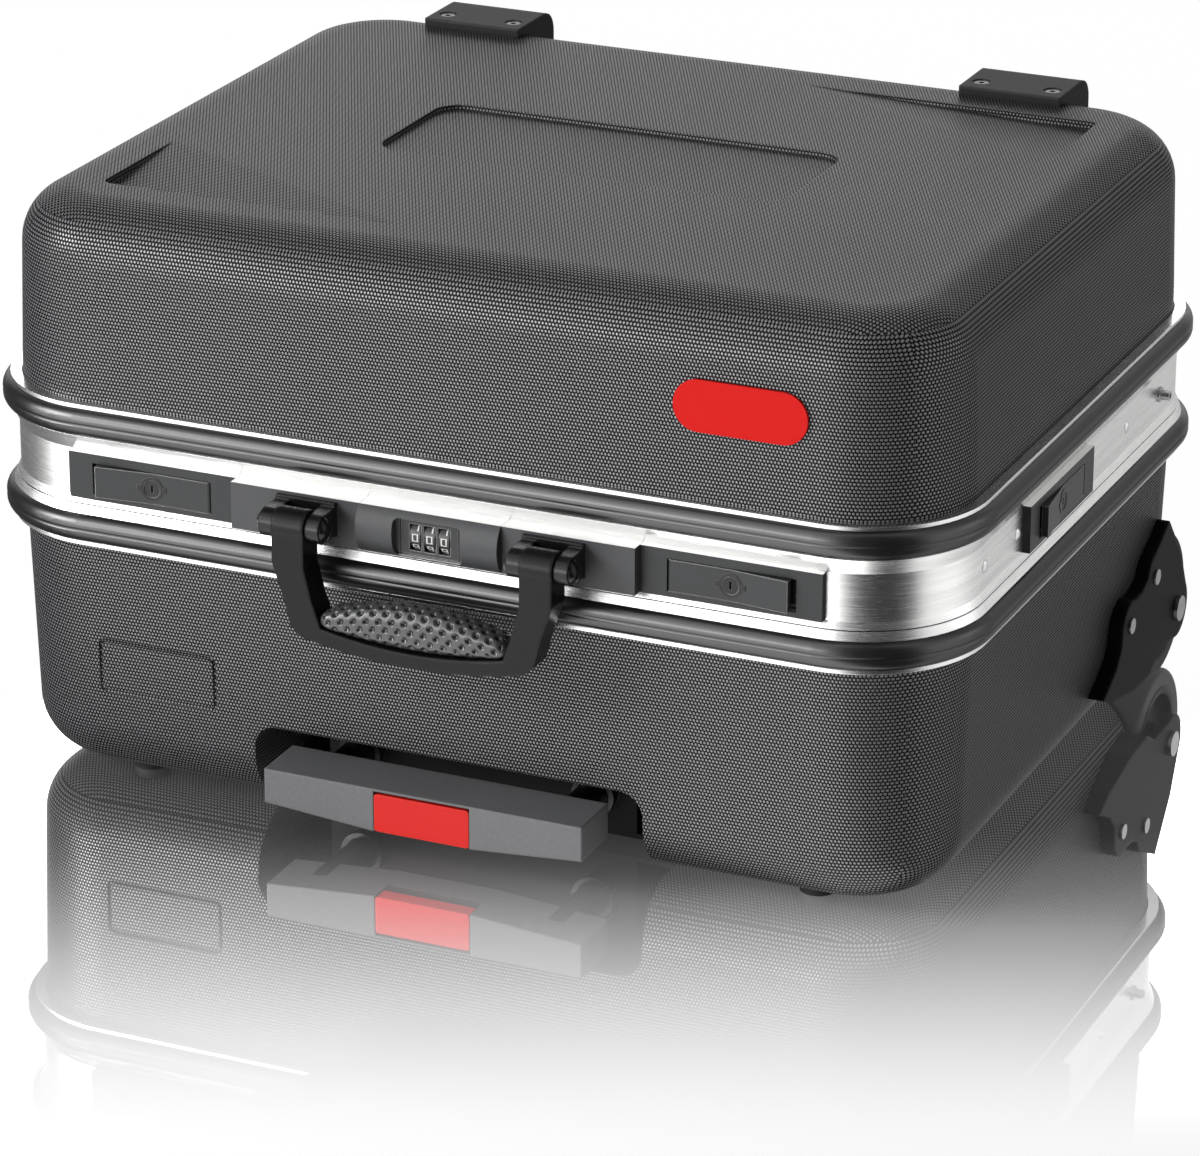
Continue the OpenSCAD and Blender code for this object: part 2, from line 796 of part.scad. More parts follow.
module lever_front_left() { color([0.22, 0.225, 0.23]) in_frame() at_front_left() latch_lever(); }
module lever_front_right() { color([0.22, 0.225, 0.23]) in_frame() at_front_right() latch_lever(); }
module lever_side_left() { color([0.22, 0.225, 0.23]) in_frame() at_side_left() latch_lever(); }
module lever_side_right() { color([0.22, 0.225, 0.23]) in_frame() at_side_right() latch_lever(); }
module plug_front_left() { color([0.3, 0.3, 0.31]) in_frame() at_front_left() lock_plug(); }
module plug_front_right() { color([0.3, 0.3, 0.31]) in_frame() at_front_right() lock_plug(); }
module plug_side_left() { color([0.3, 0.3, 0.31]) in_frame() at_side_left() lock_plug(); }
module plug_side_right() { color([0.3, 0.3, 0.31]) in_frame() at_side_right() lock_plug(); }

// Slotted strike plates on the base frame, one behind each latch
module latch_keepers() {
    seat = band_inset - shell_inset + (u_shell - u_leg) + leg_t;
    depth = u_band - u_leg + leg_t;
    keeper_top = tab_z + tab_h / 2 + keeper_rise;
    eye_x = lever_x0 + lever_eye_r;
    mid = eye_x + tab_x + tab_w / 2;
    color([0.6, 0.6, 0.62]) in_frame()
    latch_places() difference() {
        translate([mid - keeper_w / 2, depth, base_seat - leg_rise])
            cube([keeper_w, keeper_t, keeper_top - base_seat + leg_rise]);
        translate([mid - tab_w / 2 - 1.5, depth - cut, tab_z - tab_h / 2 - 1.5])
            cube([tab_w + 3, keeper_t + 2 * cut, tab_h + 3]);
    }
}

// Carry handle ---------------------------------------------------------------------------------

module handle_plates() {
    color([0.2, 0.205, 0.21]) in_frame()
    both() translate([handle_plate_in, -plate_face, band_low])
        cube([handle_plate_out - handle_plate_in, handle_plate_t, band_h]);
}

module handle_ear(x0, x1) {
    difference() {
        union() {
            bar_x(x0, x1, pivot_y, pivot_z, ear_r);
            translate([x0, pivot_y, pivot_z - ear_r])
                cube([x1 - x0, -plate_face - pivot_y, 2 * ear_r]);
        }
        bar_x(x0 - cut, x1 + cut, pivot_y, pivot_z, handle_pin_r + run_gap / 2);
    }
}

module handle_brackets() {
    pad_t = 2.5;
    color([0.1, 0.1, 0.105]) in_frame()
    both() {
        handle_ear(ear_in - ear_len, ear_in);
        handle_ear(ear_out, ear_out + ear_len);
        translate([ear_in - ear_len, -plate_face - pad_t, pivot_z - ear_r - 1])
            cube([ear_out - ear_in + 2 * ear_len, pad_t, 2 * ear_r + 3]);
    }
}

// Pins with a domed head over each ear
module handle_pins() {
    color([0.1, 0.1, 0.105]) in_frame()
    both() {
        bar_x(ear_in - ear_len, ear_out + ear_len, pivot_y, pivot_z, handle_pin_r);
        intersection() {
            translate([ear_in - ear_len + 3.5, pivot_y, pivot_z]) sphere(ear_r);
            bar_x(ear_in - ear_len - 10, ear_in - ear_len, pivot_y, pivot_z, 2 * ear_r);
        }
        intersection() {
            translate([ear_out + ear_len - 3.5, pivot_y, pivot_z]) sphere(ear_r);
            bar_x(ear_out + ear_len, ear_out + ear_len + 10, pivot_y, pivot_z, 2 * ear_r);
        }
    }
}

// Front views of the handle: radius of an arc from its half chord and its rise
function arc_radius(half, rise) = (half * half + rise * rise) / (2 * rise);

module handle_outline() {
    arm_out = arm_x + arm_w / 2;
    low = pivot_z - handle_drop;
    foot_half = 57.5;
    bow = 6.5;
    r = arc_radius(foot_half, bow);
    intersection() {
        polygon([[-arm_out, pivot_z + 20], [-arm_out, pivot_z - 17], [-66.5, pivot_z - 33],
                 [-62.5, low + 11], [-47.5, low - 2.5], [47.5, low - 2.5], [62.5, low + 11],
                 [66.5, pivot_z - 33], [arm_out, pivot_z - 17], [arm_out, pivot_z + 20]]);
        translate([0, low + r]) circle(r, $fn = 256);
    }
}

module handle_opening() {
    arm_in = arm_x - arm_w / 2;
    low = pivot_z - handle_drop + 7;
    foot_half = 47;
    bow = 5;
    r = arc_radius(foot_half, bow);
    intersection() {
        polygon([[-arm_in, pivot_z + 30], [-arm_in, pivot_z - 18], [-51.5, pivot_z - 34],
                 [-44.7, low - 1.5], [44.7, low - 1.5], [51.5, pivot_z - 34],
                 [arm_in, pivot_z - 18], [arm_in, pivot_z + 30]]);
        translate([0, low + r]) circle(r, $fn = 256);
    }
}

module front_extrude(y0, y1) {
    translate([0, y1, 0]) rotate([90, 0, 0]) linear_extrude(y1 - y0) children();
}

module carry_handle() {
    arm_out = arm_x + arm_w / 2;
    color([0.11, 0.115, 0.12]) in_frame()
    difference() {
        intersection() {
            union() {
                bar_x(-arm_out, arm_out, pivot_y, pivot_z, eye_r);
                translate([-arm_out, pivot_y - arm_t / 2 - 0.5, pivot_z - handle_drop - 5])
                    cube([2 * arm_out, arm_t, handle_drop + 5]);
            }
            front_extrude(pivot_y - 30, pivot_y + 30) difference() {
                handle_outline();
                handle_opening();
            }
        }
        bar_x(-arm_out - cut, arm_out + cut, pivot_y, pivot_z, handle_pin_r + run_gap);
    }
}

// Soft grip in the lower part of the handle's opening
module handle_grip() {
    low = pivot_z - handle_drop + 7;
    crown = 21.5;
    half = 51;
    bow = 9.5;
    r = arc_radius(half, bow);
    color([0.13, 0.13, 0.135]) in_frame()
    intersection() {
        front_extrude(pivot_y - eye_r, pivot_y + 9) intersection() {
            handle_opening();
            translate([0, low + crown - r]) circle(r, $fn = 256);
        }
        bar_x(-60, 60, pivot_y + 0.3, low + 8, 14);
    }
}

// Combination lock -----------------------------------------------------------------------------

module combination_plate() {
    bulge_r = arc_radius(band_h / 2, combo_bulge);
    color([0.2, 0.205, 0.21]) in_frame()
    difference() {
        union() {
            translate([-combo_w / 2, -plate_face, band_low]) cube([combo_w, handle_plate_t, band_h]);
            intersection() {
                bar_x(-combo_w / 2, combo_w / 2, -plate_face - combo_bulge + bulge_r, band_mid, bulge_r);
                translate([-combo_w, -plate_face - 20, band_low]) cube([2 * combo_w, 20, band_h]);
            }
        }
        front_extrude(-plate_face - 20, -plate_face)
            translate([0, digit_z]) round_rect(dial_panel_w, dial_panel_h, 3);
        translate([-dial_w / 2 - 3.5, -plate_face - cut, digit_z - digit_r - 0.5])
            cube([dial_w + 7, handle_plate_t + 2 * cut, 2 * digit_r + 1]);
    }
}

// Inner dial case: a face with a slot for each wheel, and a cheek at each end for the axle
module combination_case() {
    cheek_x = dial_w / 2 + 0.4;
    w = 2 * (cheek_x + cheek_t);
    color([0.22, 0.225, 0.23]) in_frame()
    difference() {
        union() {
            translate([-w / 2, -plate_face, digit_z - digit_r])
                cube([w, 1.2, 2 * digit_r]);
            for (x = [-w / 2, cheek_x]) translate([x, -plate_face, digit_z - 5])
                cube([cheek_t, digit_y + plate_face + 5, 10]);
        }
        for (i = [-1 : 1]) translate([i * digit_pitch - digit_w / 2 - slot_gap, -plate_face - cut,
                                      digit_z - 6.6])
            cube([digit_w + 2 * slot_gap, 1.2 + 2 * cut, 13.2]);
        bar_x(-w, w, digit_y, digit_z, digit_axle_r + run_gap / 2);
    }
}

module digit_axle() {
    half = dial_w / 2 + 0.4 + cheek_t;
    color([0.6, 0.6, 0.62]) in_frame() bar_x(-half, half, digit_y, digit_z, digit_axle_r);
}

// Ten-sided number wheel
module digit_wheel(i) {
    x0 = i * digit_pitch - digit_w / 2;
    flat_r = digit_r / cos(18) - 0.1;
    color([0.05, 0.05, 0.05]) in_frame()
    difference() {
        intersection() {
            bar_x(x0, x0 + digit_w, digit_y, digit_z, digit_r);
            translate([x0 - cut, digit_y, digit_z]) rotate([0, 90, 0])
                cylinder(r = flat_r, h = digit_w + 2 * cut, $fn = 10);
        }
        bar_x(x0 - cut, x0 + digit_w + cut, digit_y, digit_z, digit_axle_r + run_gap);
    }
}

module digit_wheel_1() { digit_wheel(-1); }
module digit_wheel_2() { digit_wheel(0); }
module digit_wheel_3() { digit_wheel(1); }

// Small fittings -------------------------------------------------------------------------------

module frame_rivets() {
    front_rivet_y = rivet_front_in - case_d / 2;
    dome_r = arc_radius(rivet_head_r, rivet_head_h);
    color([0.8, 0.8, 0.8]) in_frame()
    both() for (y = [front_rivet_y, front_rivet_y + rivet_step, case_d / 2 - rivet_rear_in])
        translate([band_x, y, band_mid]) rotate([0, 90, 0]) rotate_extrude() intersection() {
            translate([0, rivet_head_h - dome_r]) circle(dome_r);
            square([rivet_head_r + cut, rivet_head_h + cut]);
        }
}

// Badge without marks on the front of the lid
module badge() {
    badge_z = lid_top - badge_drop;
    face = front_y + (badge_z - lid_rim - lip_t) * tan(draft);
    color([0.85, 0.1, 0.09]) in_frame()
    translate([case_w / 2 - badge_in, face, badge_z]) rotate([90 - draft, 0, 0])
        linear_extrude(badge_t) round_rect(badge_l, badge_h, badge_h / 2 - 0.1);
}

screw_r = 2;
screw_dx = 19;
screw_y = foot_front_y + 11.5;

module foot_screw_places() {
    both() for (s = [-1, 1]) translate([foot_x + s * screw_dx, screw_y, 0]) children();
}

// Feet over the lid's rear edge, for standing the case upright
module stand_feet() {
    r = 12;
    low = lid_top - 36;
    back = corner_y + u_shell + foot_back;
    color([0.1, 0.1, 0.105]) in_frame()
    difference() {
        both() translate([foot_x - foot_w / 2, 0, 0]) difference() {
            rotate([90, 0, 90]) linear_extrude(foot_w) {
                translate([foot_front_y, low]) square([back - r - foot_front_y, lid_top + foot_t - low]);
                translate([foot_front_y, low]) square([back - foot_front_y, lid_top + foot_t - low - r]);
                translate([back - r, lid_top + foot_t - r]) circle(r);
            }
            translate([-cut, corner_y, lid_rim + lip_t]) rotate([90, 0, 90])
                linear_extrude(foot_w + 2 * cut) {
                    dome_section(-0.1, lid_top - lid_rim - lip_t, 0);
                    translate([-60, 0]) square([61, lid_top - lid_rim - lip_t]);
                }
        }
        foot_screw_places() {
            translate([0, 0, lid_top - 3 * wall]) cylinder(r = screw_r + 0.2, h = 20);
            translate([0, 0, lid_top + foot_t - 2.4]) cylinder(r = 4.4, h = 10);
        }
    }
}

module stand_foot_screws() {
    color([0.14, 0.14, 0.145]) in_frame()
    foot_screw_places() difference() {
        union() {
            translate([0, 0, lid_top - 2 * wall]) cylinder(r = screw_r, h = 2 * wall + foot_t - 1);
            translate([0, 0, lid_top + foot_t - 2.4]) cylinder(r = 3.9, h = 1.9);
        }
        translate([0, 0, lid_top + foot_t - 1.9]) cylinder(r = 1.6, h = 3, $fn = 6);
    }
}

module base_pads() {
    color([0.07, 0.07, 0.07]) in_frame()
    both() translate([case_w / 2 - pad_in, pad_back - case_d / 2, 0])
        cylinder(r = pad_r, h = floor_gap);
}

// Wheels ---------------------------------------------------------------------------------------

// Outline of the housing's side plate, seen from the right: x = depth, y = height
module housing_outline() {
    translate([axle_y, axle_z]) circle(lobe_r);
    translate(rivet_front) circle(13);
    translate(rivet_rear) circle(14);
    translate([axle_y, axle_z])
        polygon([[-20, 55], [-42, 44], [-50, 35], [-61, 31], [-82, 30], [-89, 22], [-90, 11],
                 [-98, 2], [-116, -7], [-102, -13], [-68, -20], [-42, -21], [-30, -14], [-8, -14],
                 [14, 6], [2, 30]]);
}

module wheel_housing() {
    color([0.09, 0.09, 0.095]) in_frame()
    difference() {
        union() {
            intersection() {
                difference() {
                    bar_x(well_x + free_gap, arm_in_x + 1, axle_y, axle_z, well_r - free_gap);
                    bar_x(well_x + 3, arm_in_x + 2, axle_y, axle_z, wheel_r + wheel_gap);
                }
                union() {
                    base_dome(0, 0);
                    translate([flange_x - 15, 0, 0]) rotate([90, 0, 90])
                        linear_extrude(30) housing_outline();
                }
            }
            difference() {
                translate([flange_x, 0, 0]) rotate([90, 0, 90])
                    linear_extrude(housing_x - flange_x) housing_outline();
                base_dome(-0.1, 0);
                bar_x(well_x, arm_in_x, axle_y, axle_z, wheel_r + wheel_gap);
            }
        }
        bar_x(well_x - cut, housing_x + cut, axle_y, axle_z, axle_r + run_gap / 2);
    }
}

module wheel_housing_right() { wheel_housing(); }
module wheel_housing_left() { mirror([1, 0, 0]) wheel_housing(); }

module housing_rivets() {
    color([0.7, 0.7, 0.71]) in_frame()
    both() for (p = [rivet_front, rivet_rear])
        bar_x(housing_x, housing_x + 1, p[0], p[1], rivet_r);
}

module wheel_axles() {
    color([0.6, 0.6, 0.62]) in_frame()
    both() {
        bar_x(well_x + free_gap, housing_x + 0.5, axle_y, axle_z, axle_r);
        bar_x(housing_x, housing_x + 2, axle_y, axle_z, axle_r + 2.6);
    }
}

hub_r = 29;

module wheel_hub() {
    x0 = wheel_face_x - wheel_w;
    color([0.13, 0.13, 0.135]) in_frame()
    difference() {
        union() {
            bar_x(x0, wheel_face_x, axle_y, axle_z, hub_r);
        }
        for (x = [x0 - cut, wheel_face_x - 5]) difference() {
            bar_x(x, x + 5 + cut, axle_y, axle_z, hub_r - 4);
            bar_x(x - cut, x + 8, axle_y, axle_z, axle_r + 5);
        }
        bar_x(x0 - cut, wheel_face_x + cut, axle_y, axle_z, axle_r + run_gap);
    }
}

module wheel_tyre() {
    edge = 3;
    x0 = wheel_face_x - wheel_w;
    color([0.05, 0.05, 0.05]) in_frame()
    translate([x0, axle_y, axle_z]) rotate([0, 90, 0]) rotate_extrude() {
        translate([hub_r + 0.1, 0]) square([wheel_r - edge - hub_r - 0.1, wheel_w]);
        translate([hub_r + 0.1, edge]) square([wheel_r - hub_r - 0.1, wheel_w - 2 * edge]);
        for (z = [edge, wheel_w - edge]) translate([wheel_r - edge, z]) circle(edge);
    }
}

module wheel_hub_right() { wheel_hub(); }
module wheel_hub_left() { mirror([1, 0, 0]) wheel_hub(); }
module wheel_tyre_right() { wheel_tyre(); }
module wheel_tyre_left() { mirror([1, 0, 0]) wheel_tyre(); }

// Pull handle ----------------------------------------------------------------------------------

module trolley_cover() {
    w = 2 * tunnel_x - 0.6;
    color([0.12, 0.12, 0.125]) in_frame()
    difference() {
        translate([-w / 2, tunnel_front, floor_gap])
            cube([w, tunnel_back - free_gap - tunnel_front, cover_t]);
        for (x = [-70, 0, 70]) translate([x, 0, floor_gap - cut]) linear_extrude(cut + 0.8)
            round_rect(40, tunnel_back - tunnel_front - 90, 6);
    }
}

// Cross blocks that carry the fixed tubes
module trolley_brackets() {
    low = floor_gap + cover_t;
    color([0.12, 0.12, 0.125]) in_frame()
    for (y = [tunnel_front, bracket_back]) difference() {
        translate([-bracket_x, y, low]) cube([2 * bracket_x, bracket_t, tunnel_z - low]);
        for (s = [-1, 1]) bar_y(y - cut, y + bracket_t + cut, s * tube_x, tube_z, tube_r + run_gap);
    }
}

module tube(y0, y1, r) {
    difference() {
        bar_y(y0, y1, 0, tube_z, r);
        bar_y(y0 - cut, y1 + cut, 0, tube_z, r - tube_wall);
    }
}

module tube_places() {
    for (s = [-1, 1]) translate([s * tube_x, 0, 0]) children();
}

module trolley_outer_tubes() {
    color([0.65, 0.65, 0.66]) in_frame() tube_places() tube(tunnel_front, outer_back, tube_r);
}

module trolley_middle_tubes() {
    color([0.7, 0.7, 0.71]) in_frame() tube_places() {
        tube(middle_front, middle_back, middle_r);
        difference() {
            bar_y(middle_front, middle_front + 5, 0, tube_z, tube_r);
            bar_y(middle_front - cut, middle_front + 6, 0, tube_z, middle_r - tube_wall);
        }
    }
}

module trolley_inner_tubes() {
    color([0.74, 0.74, 0.75]) in_frame() tube_places() tube(grip_rear - tube_socket, inner_back, inner_r);
}

module trolley_grip() {
    slot_top = button_top + 1.4;
    yoke_front = grip_front + button_deep;
    yoke_back = yoke_front + yoke_t + button_travel + free_gap;
    color([0.17, 0.175, 0.18]) in_frame()
    difference() {
        front_extrude(grip_front, grip_rear)
            polygon([[-grip_x, grip_end_low], [-grip_x, grip_top], [grip_x, grip_top],
                     [grip_x, grip_end_low], [grip_flat, grip_low], [-grip_flat, grip_low]]);
        translate([-button_x - slot_gap, grip_front - cut, grip_low - cut])
            cube([2 * (button_x + slot_gap), yoke_back - grip_front + cut, slot_top - grip_low + cut]);
        translate([-tube_x - inner_r, yoke_front - 2, tube_z - yoke_h / 2 - slot_gap])
            cube([2 * (tube_x + inner_r), yoke_back - yoke_front + 2, yoke_h + 2 * slot_gap]);
        bar_y(yoke_back - cut, yoke_back + spring_l + 1, 0, tube_z, spring_r + free_gap);
        tube_places() {
            bar_y(grip_rear - tube_socket, grip_rear + cut, 0, tube_z, inner_r + run_gap);
            bar_y(yoke_back - cut, grip_rear, 0, tube_z, rod_r + 1);
        }
    }
}

module release_button() {
    r = 1.5;
    color([0.9, 0.1, 0.08]) in_frame()
    front_extrude(grip_front, grip_front + button_deep)
        translate([0, (button_low + button_top) / 2])
            round_rect(2 * button_x, button_top - button_low, r);
}

// Cross yoke behind the button, with a rod down each inner tube
module release_rods() {
    yoke_front = grip_front + button_deep;
    half = tube_x + rod_r + 1;
    color([0.6, 0.6, 0.62]) in_frame() {
        translate([-half, yoke_front, tube_z - yoke_h / 2]) cube([2 * half, yoke_t, yoke_h]);
        tube_places() bar_y(yoke_front + yoke_t - 1, inner_back - 6, 0, tube_z, rod_r);
    }
}

module release_spring() {
    y0 = grip_front + button_deep + yoke_t;
    color([0.6, 0.6, 0.62]) in_frame()
    difference() {
        bar_y(y0, y0 + spring_l, 0, tube_z, spring_r);
        bar_y(y0 - cut, y0 + spring_l + cut, 0, tube_z, spring_r - 1);
    }
}

base_shell();
base_frame();
base_bumper();
frame_seal();
latch_keepers();
hinge_base_leaves();
hinge_pins();
stay_brackets();
base_pads();
wheel_housing_left();
wheel_housing_right();
housing_rivets();
wheel_axles();
trolley_cover();
trolley_brackets();
trolley_outer_tubes();
lid_shell();
lid_frame();
lid_bumper();
hinge_lid_leaves();
stay_studs();
frame_rivets();
stand_feet();
stand_foot_screws();
badge();
front_latch_plates();
side_latch_plates();
handle_plates();
handle_brackets();
handle_pins();
combination_plate();
combination_case();
digit_axle();
lever_front_left();
lever_front_right();
lever_side_left();
lever_side_right();
plug_front_left();
plug_front_right();
plug_side_left();
plug_side_right();
carry_handle();
handle_grip();
digit_wheel_1();
digit_wheel_2();
digit_wheel_3();
stay_arm_left();
stay_arm_right();
trolley_middle_tubes();
trolley_inner_tubes();
trolley_grip();
release_button();
release_rods();
release_spring();
wheel_hub_left();
wheel_hub_right();
wheel_tyre_left();
wheel_tyre_right();
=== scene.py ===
import math

import bpy
import numpy as np
from mathutils import Matrix, Vector


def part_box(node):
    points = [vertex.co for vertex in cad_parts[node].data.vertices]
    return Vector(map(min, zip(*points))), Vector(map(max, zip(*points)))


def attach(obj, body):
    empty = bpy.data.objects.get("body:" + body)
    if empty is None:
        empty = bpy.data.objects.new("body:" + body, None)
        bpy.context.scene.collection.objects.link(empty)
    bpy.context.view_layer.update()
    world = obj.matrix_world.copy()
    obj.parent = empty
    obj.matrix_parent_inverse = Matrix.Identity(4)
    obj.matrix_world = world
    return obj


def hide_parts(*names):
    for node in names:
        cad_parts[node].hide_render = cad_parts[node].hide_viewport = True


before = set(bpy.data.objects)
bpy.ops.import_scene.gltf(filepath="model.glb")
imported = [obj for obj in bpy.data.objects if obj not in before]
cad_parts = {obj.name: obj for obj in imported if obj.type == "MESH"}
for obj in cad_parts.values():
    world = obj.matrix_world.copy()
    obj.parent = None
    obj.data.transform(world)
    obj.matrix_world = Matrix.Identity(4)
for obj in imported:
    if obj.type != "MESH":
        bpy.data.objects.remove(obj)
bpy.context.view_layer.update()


# ---- Studio -----------------------------------------------------------------------------------
# A white table under soft boxes. The case stands on a polished white top that mirrors it faintly
# near its front edge and goes blank further out; the camera looks down on its front right corner.

def facing(at, toward):
    """The placement of a camera or a lamp at one point that looks at another."""
    turn = (Vector(toward) - Vector(at)).to_track_quat("-Z", "Y").to_matrix().to_4x4()
    return Matrix.Translation(Vector(at)) @ turn


# The lens, the shifts and the roll are fitted to the case's edges in the photograph.
eye, aim = (1.0083, -2.2764, 1.0775), (0.0003, -0.0027, 0.0882)
roll = math.radians(0.14)
camera_data = bpy.data.cameras.new("studio_camera")
camera_data.sensor_width = 36.0
camera_data.lens = 160.38
camera_data.shift_x = 0.0024
camera_data.shift_y = -0.01875
camera_data.clip_end = 50.0
camera = bpy.data.objects.new("studio_camera", camera_data)
camera.matrix_world = facing(eye, aim) @ Matrix.Rotation(roll, 4, "Z")
bpy.context.scene.collection.objects.link(camera)
bpy.context.scene.camera = camera


def soft_box(name, at, toward, width, height, watts):
    """A rectangular lamp at one point, facing another."""
    data = bpy.data.lights.new(name, "AREA")
    data.shape = "RECTANGLE"
    data.size, data.size_y, data.energy = width, height, watts
    lamp = bpy.data.objects.new(name, data)
    lamp.matrix_world = facing(at, toward)
    bpy.context.scene.collection.objects.link(lamp)


soft_box("box_front", (-2.4, -2.0, 1.5), (0, -0.15, 0.17), 1.5, 1.3, watts=84)
soft_box("box_low", (-1.1, -3.0, 0.55), (0, -0.15, 0.15), 1.4, 0.8, watts=20)
soft_box("box_back", (-0.9, 2.3, 1.5), (0, 0, 0.28), 1.6, 0.8, watts=8)
soft_box("box_right", (2.4, 1.2, 1.0), (0.2, 0, 0.15), 0.9, 1.0, watts=3)
bpy.context.scene.view_settings.view_transform = "Standard"


def node(tree, kind, inputs=None, **settings):
    """Adds a shader node; each input is a socket to link or a plain value to set."""
    made = tree.nodes.new(kind)
    for key, value in settings.items():
        setattr(made, key, value)
    for key, value in (inputs or {}).items():
        if isinstance(value, bpy.types.NodeSocket):
            tree.links.new(value, made.inputs[key])
        else:
            made.inputs[key].default_value = value
    return made


def maths(tree, operation, first, second=0.0):
    """One arithmetic step between two sockets or values."""
    return node(tree, "ShaderNodeMath", {0: first, 1: second}, operation=operation).outputs[0]


def spread(tree, value, low, high, start=0.0, end=1.0, kind="LINEAR"):
    """Carries the span from start to end over to the one from low to high, and stops at both."""
    return node(tree, "ShaderNodeMapRange", {"Value": value, "From Min": start, "From Max": end,
                "To Min": low, "To Max": high}, interpolation_type=kind).outputs[0]


def mixed(tree, factor, low, high):
    """Goes from one value to another as the factor goes from nought to one."""
    return node(tree, "ShaderNodeMix", {"Factor": factor, 2: low, 3: high}).outputs[0]


def group_of(name, inputs, outputs):
    """Starts a shader node group with named sockets and returns its tree, its input and output."""
    made = bpy.data.node_groups.new(name, "ShaderNodeTree")
    for key, kind in inputs.items():
        made.interface.new_socket(name=key, in_out="INPUT", socket_type="NodeSocket" + kind)
    for key, kind in outputs.items():
        made.interface.new_socket(name=key, in_out="OUTPUT", socket_type="NodeSocket" + kind)
    return made, made.nodes.new("NodeGroupInput"), made.nodes.new("NodeGroupOutput")


def placed(tree, group, **values):
    """Places a node group in a tree with its own values."""
    made = tree.nodes.new("ShaderNodeGroup")
    made.node_tree = group
    for key, value in values.items():
        made.inputs[key].default_value = value
    return made


def room_group(sky):
    """How bright the room looks from the case along each compass direction, as a ramp round the
    bearing: bright off the front left, black off the front right, where a card stands, and of
    middling strength to the right and behind. On the table the bearing is taken from a point
    under the case's front right corner."""
    tree, _, out = group_of("room_" + ("sky" if sky else "table"), {}, {"Level": "Float"})
    where = node(tree, "ShaderNodeTexCoord").outputs["Generated" if sky else "Object"]
    middle = (0.0, 0.0, 0.0) if sky else (0.25, -0.15, 0.0)
    along = node(tree, "ShaderNodeVectorMath", {0: where, 1: middle}, operation="SUBTRACT")
    at = node(tree, "ShaderNodeSeparateXYZ", {"Vector": along.outputs[0]})
    bearing = maths(tree, "ARCTAN2", at.outputs[1], at.outputs[0])
    part = spread(tree, bearing, 0.0, 1.0, start=-math.pi, end=math.pi)
    ramp = node(tree, "ShaderNodeValToRGB", {"Fac": part})
    ramp.color_ramp.interpolation = "EASE"
    lit_from = -151 if sky else -158
    side, back = (0.66, 0.76) if sky else (0.26, 0.30)
    levels = {-180: 0.08, lit_from - 14: 0.12, lit_from: 1.0, -104: 1.0, -86: 0.01, -26: 0.01,
              -12: 0.5, 20: 0.52, 62: 0.31, 95: side, 130: back, 155: 0.08}
    stops = ramp.color_ramp.elements
    while len(stops) < len(levels):
        stops.new(0.5)
    for stop, (degrees, level) in zip(stops, levels.items()):
        stop.position = (degrees + 180.0) / 360.0
        stop.color = (level, level, level, 1)
    strength = spread(tree, at.outputs[2], 2.2, 1.3, start=0.35, end=0.75)
    tree.links.new(maths(tree, "MULTIPLY", ramp.outputs[0], strength), out.inputs["Level"])
    return tree


def sheet_of(name, points, faces):
    """Makes a mesh object at the origin from its points and faces."""
    mesh = bpy.data.meshes.new(name)
    mesh.from_pydata(np.asarray(points, float).tolist(), [],
                     [[int(corner) for corner in face] for face in faces])
    mesh.update()
    made = bpy.data.objects.new(name, mesh)
    bpy.context.scene.collection.objects.link(made)
    return made


def blank(name):
    """A new material with an empty tree, and that tree."""
    made = bpy.data.materials.new(name)
    made.use_nodes = True
    made.node_tree.nodes.clear()
    return made, made.node_tree


# The first level is what matt surfaces see all round, the second what the camera sees of the
# table's own glow. The mirroring grows from nothing to its most between two distances ahead of
# the case's middle, measured on the table toward the camera.
ambient_level, table_glow = 0.19, 0.53
toward_eye = (0.405, -0.914, 0.0)
blank_from, mirror_from, most_mirrored = 0.47, 0.13, 0.96
table_half, chalk_white, white = 12.0, (0.80, 0.80, 0.80, 1), (1, 1, 1, 1)

table_top = sheet_of("table_top", [(x * table_half, y * table_half, 0) for x, y in
                                   ((-1, -1), (1, -1), (1, 1), (-1, 1))], [(0, 1, 2, 3)])
table_white, tree = blank("table_white")
path = node(tree, "ShaderNodeLightPath").outputs
place = node(tree, "ShaderNodeTexCoord").outputs["Object"]
nearer = node(tree, "ShaderNodeVectorMath", {0: place, 1: toward_eye}, operation="DOT_PRODUCT")
shine = spread(tree, nearer.outputs["Value"], 0.0, most_mirrored, start=blank_from,
               end=mirror_from, kind="SMOOTHSTEP")
dull = mixed(tree, path["Is Camera Ray"], ambient_level, table_glow)
lit = mixed(tree, path["Is Glossy Ray"], dull, placed(tree, room_group(False)).outputs[0])
chalk = node(tree, "ShaderNodeBsdfDiffuse", {"Color": chalk_white})
glow = node(tree, "ShaderNodeEmission", {"Color": white, "Strength": lit})
flat = node(tree, "ShaderNodeAddShader", {0: chalk.outputs[0], 1: glow.outputs[0]})
seen = node(tree, "ShaderNodeMixShader", {"Fac": path["Is Glossy Ray"], 1: flat.outputs[0],
            2: glow.outputs[0]})
gloss = node(tree, "ShaderNodeBsdfGlossy", {"Color": white, "Roughness": 0.0})
mirror = node(tree, "ShaderNodeMixShader", {"Fac": maths(tree, "MULTIPLY", shine,
              path["Is Camera Ray"]), 1: seen.outputs[0], 2: gloss.outputs[0]})
node(tree, "ShaderNodeOutputMaterial", {"Surface": mirror.outputs[0]})
table_top.data.materials.append(table_white)

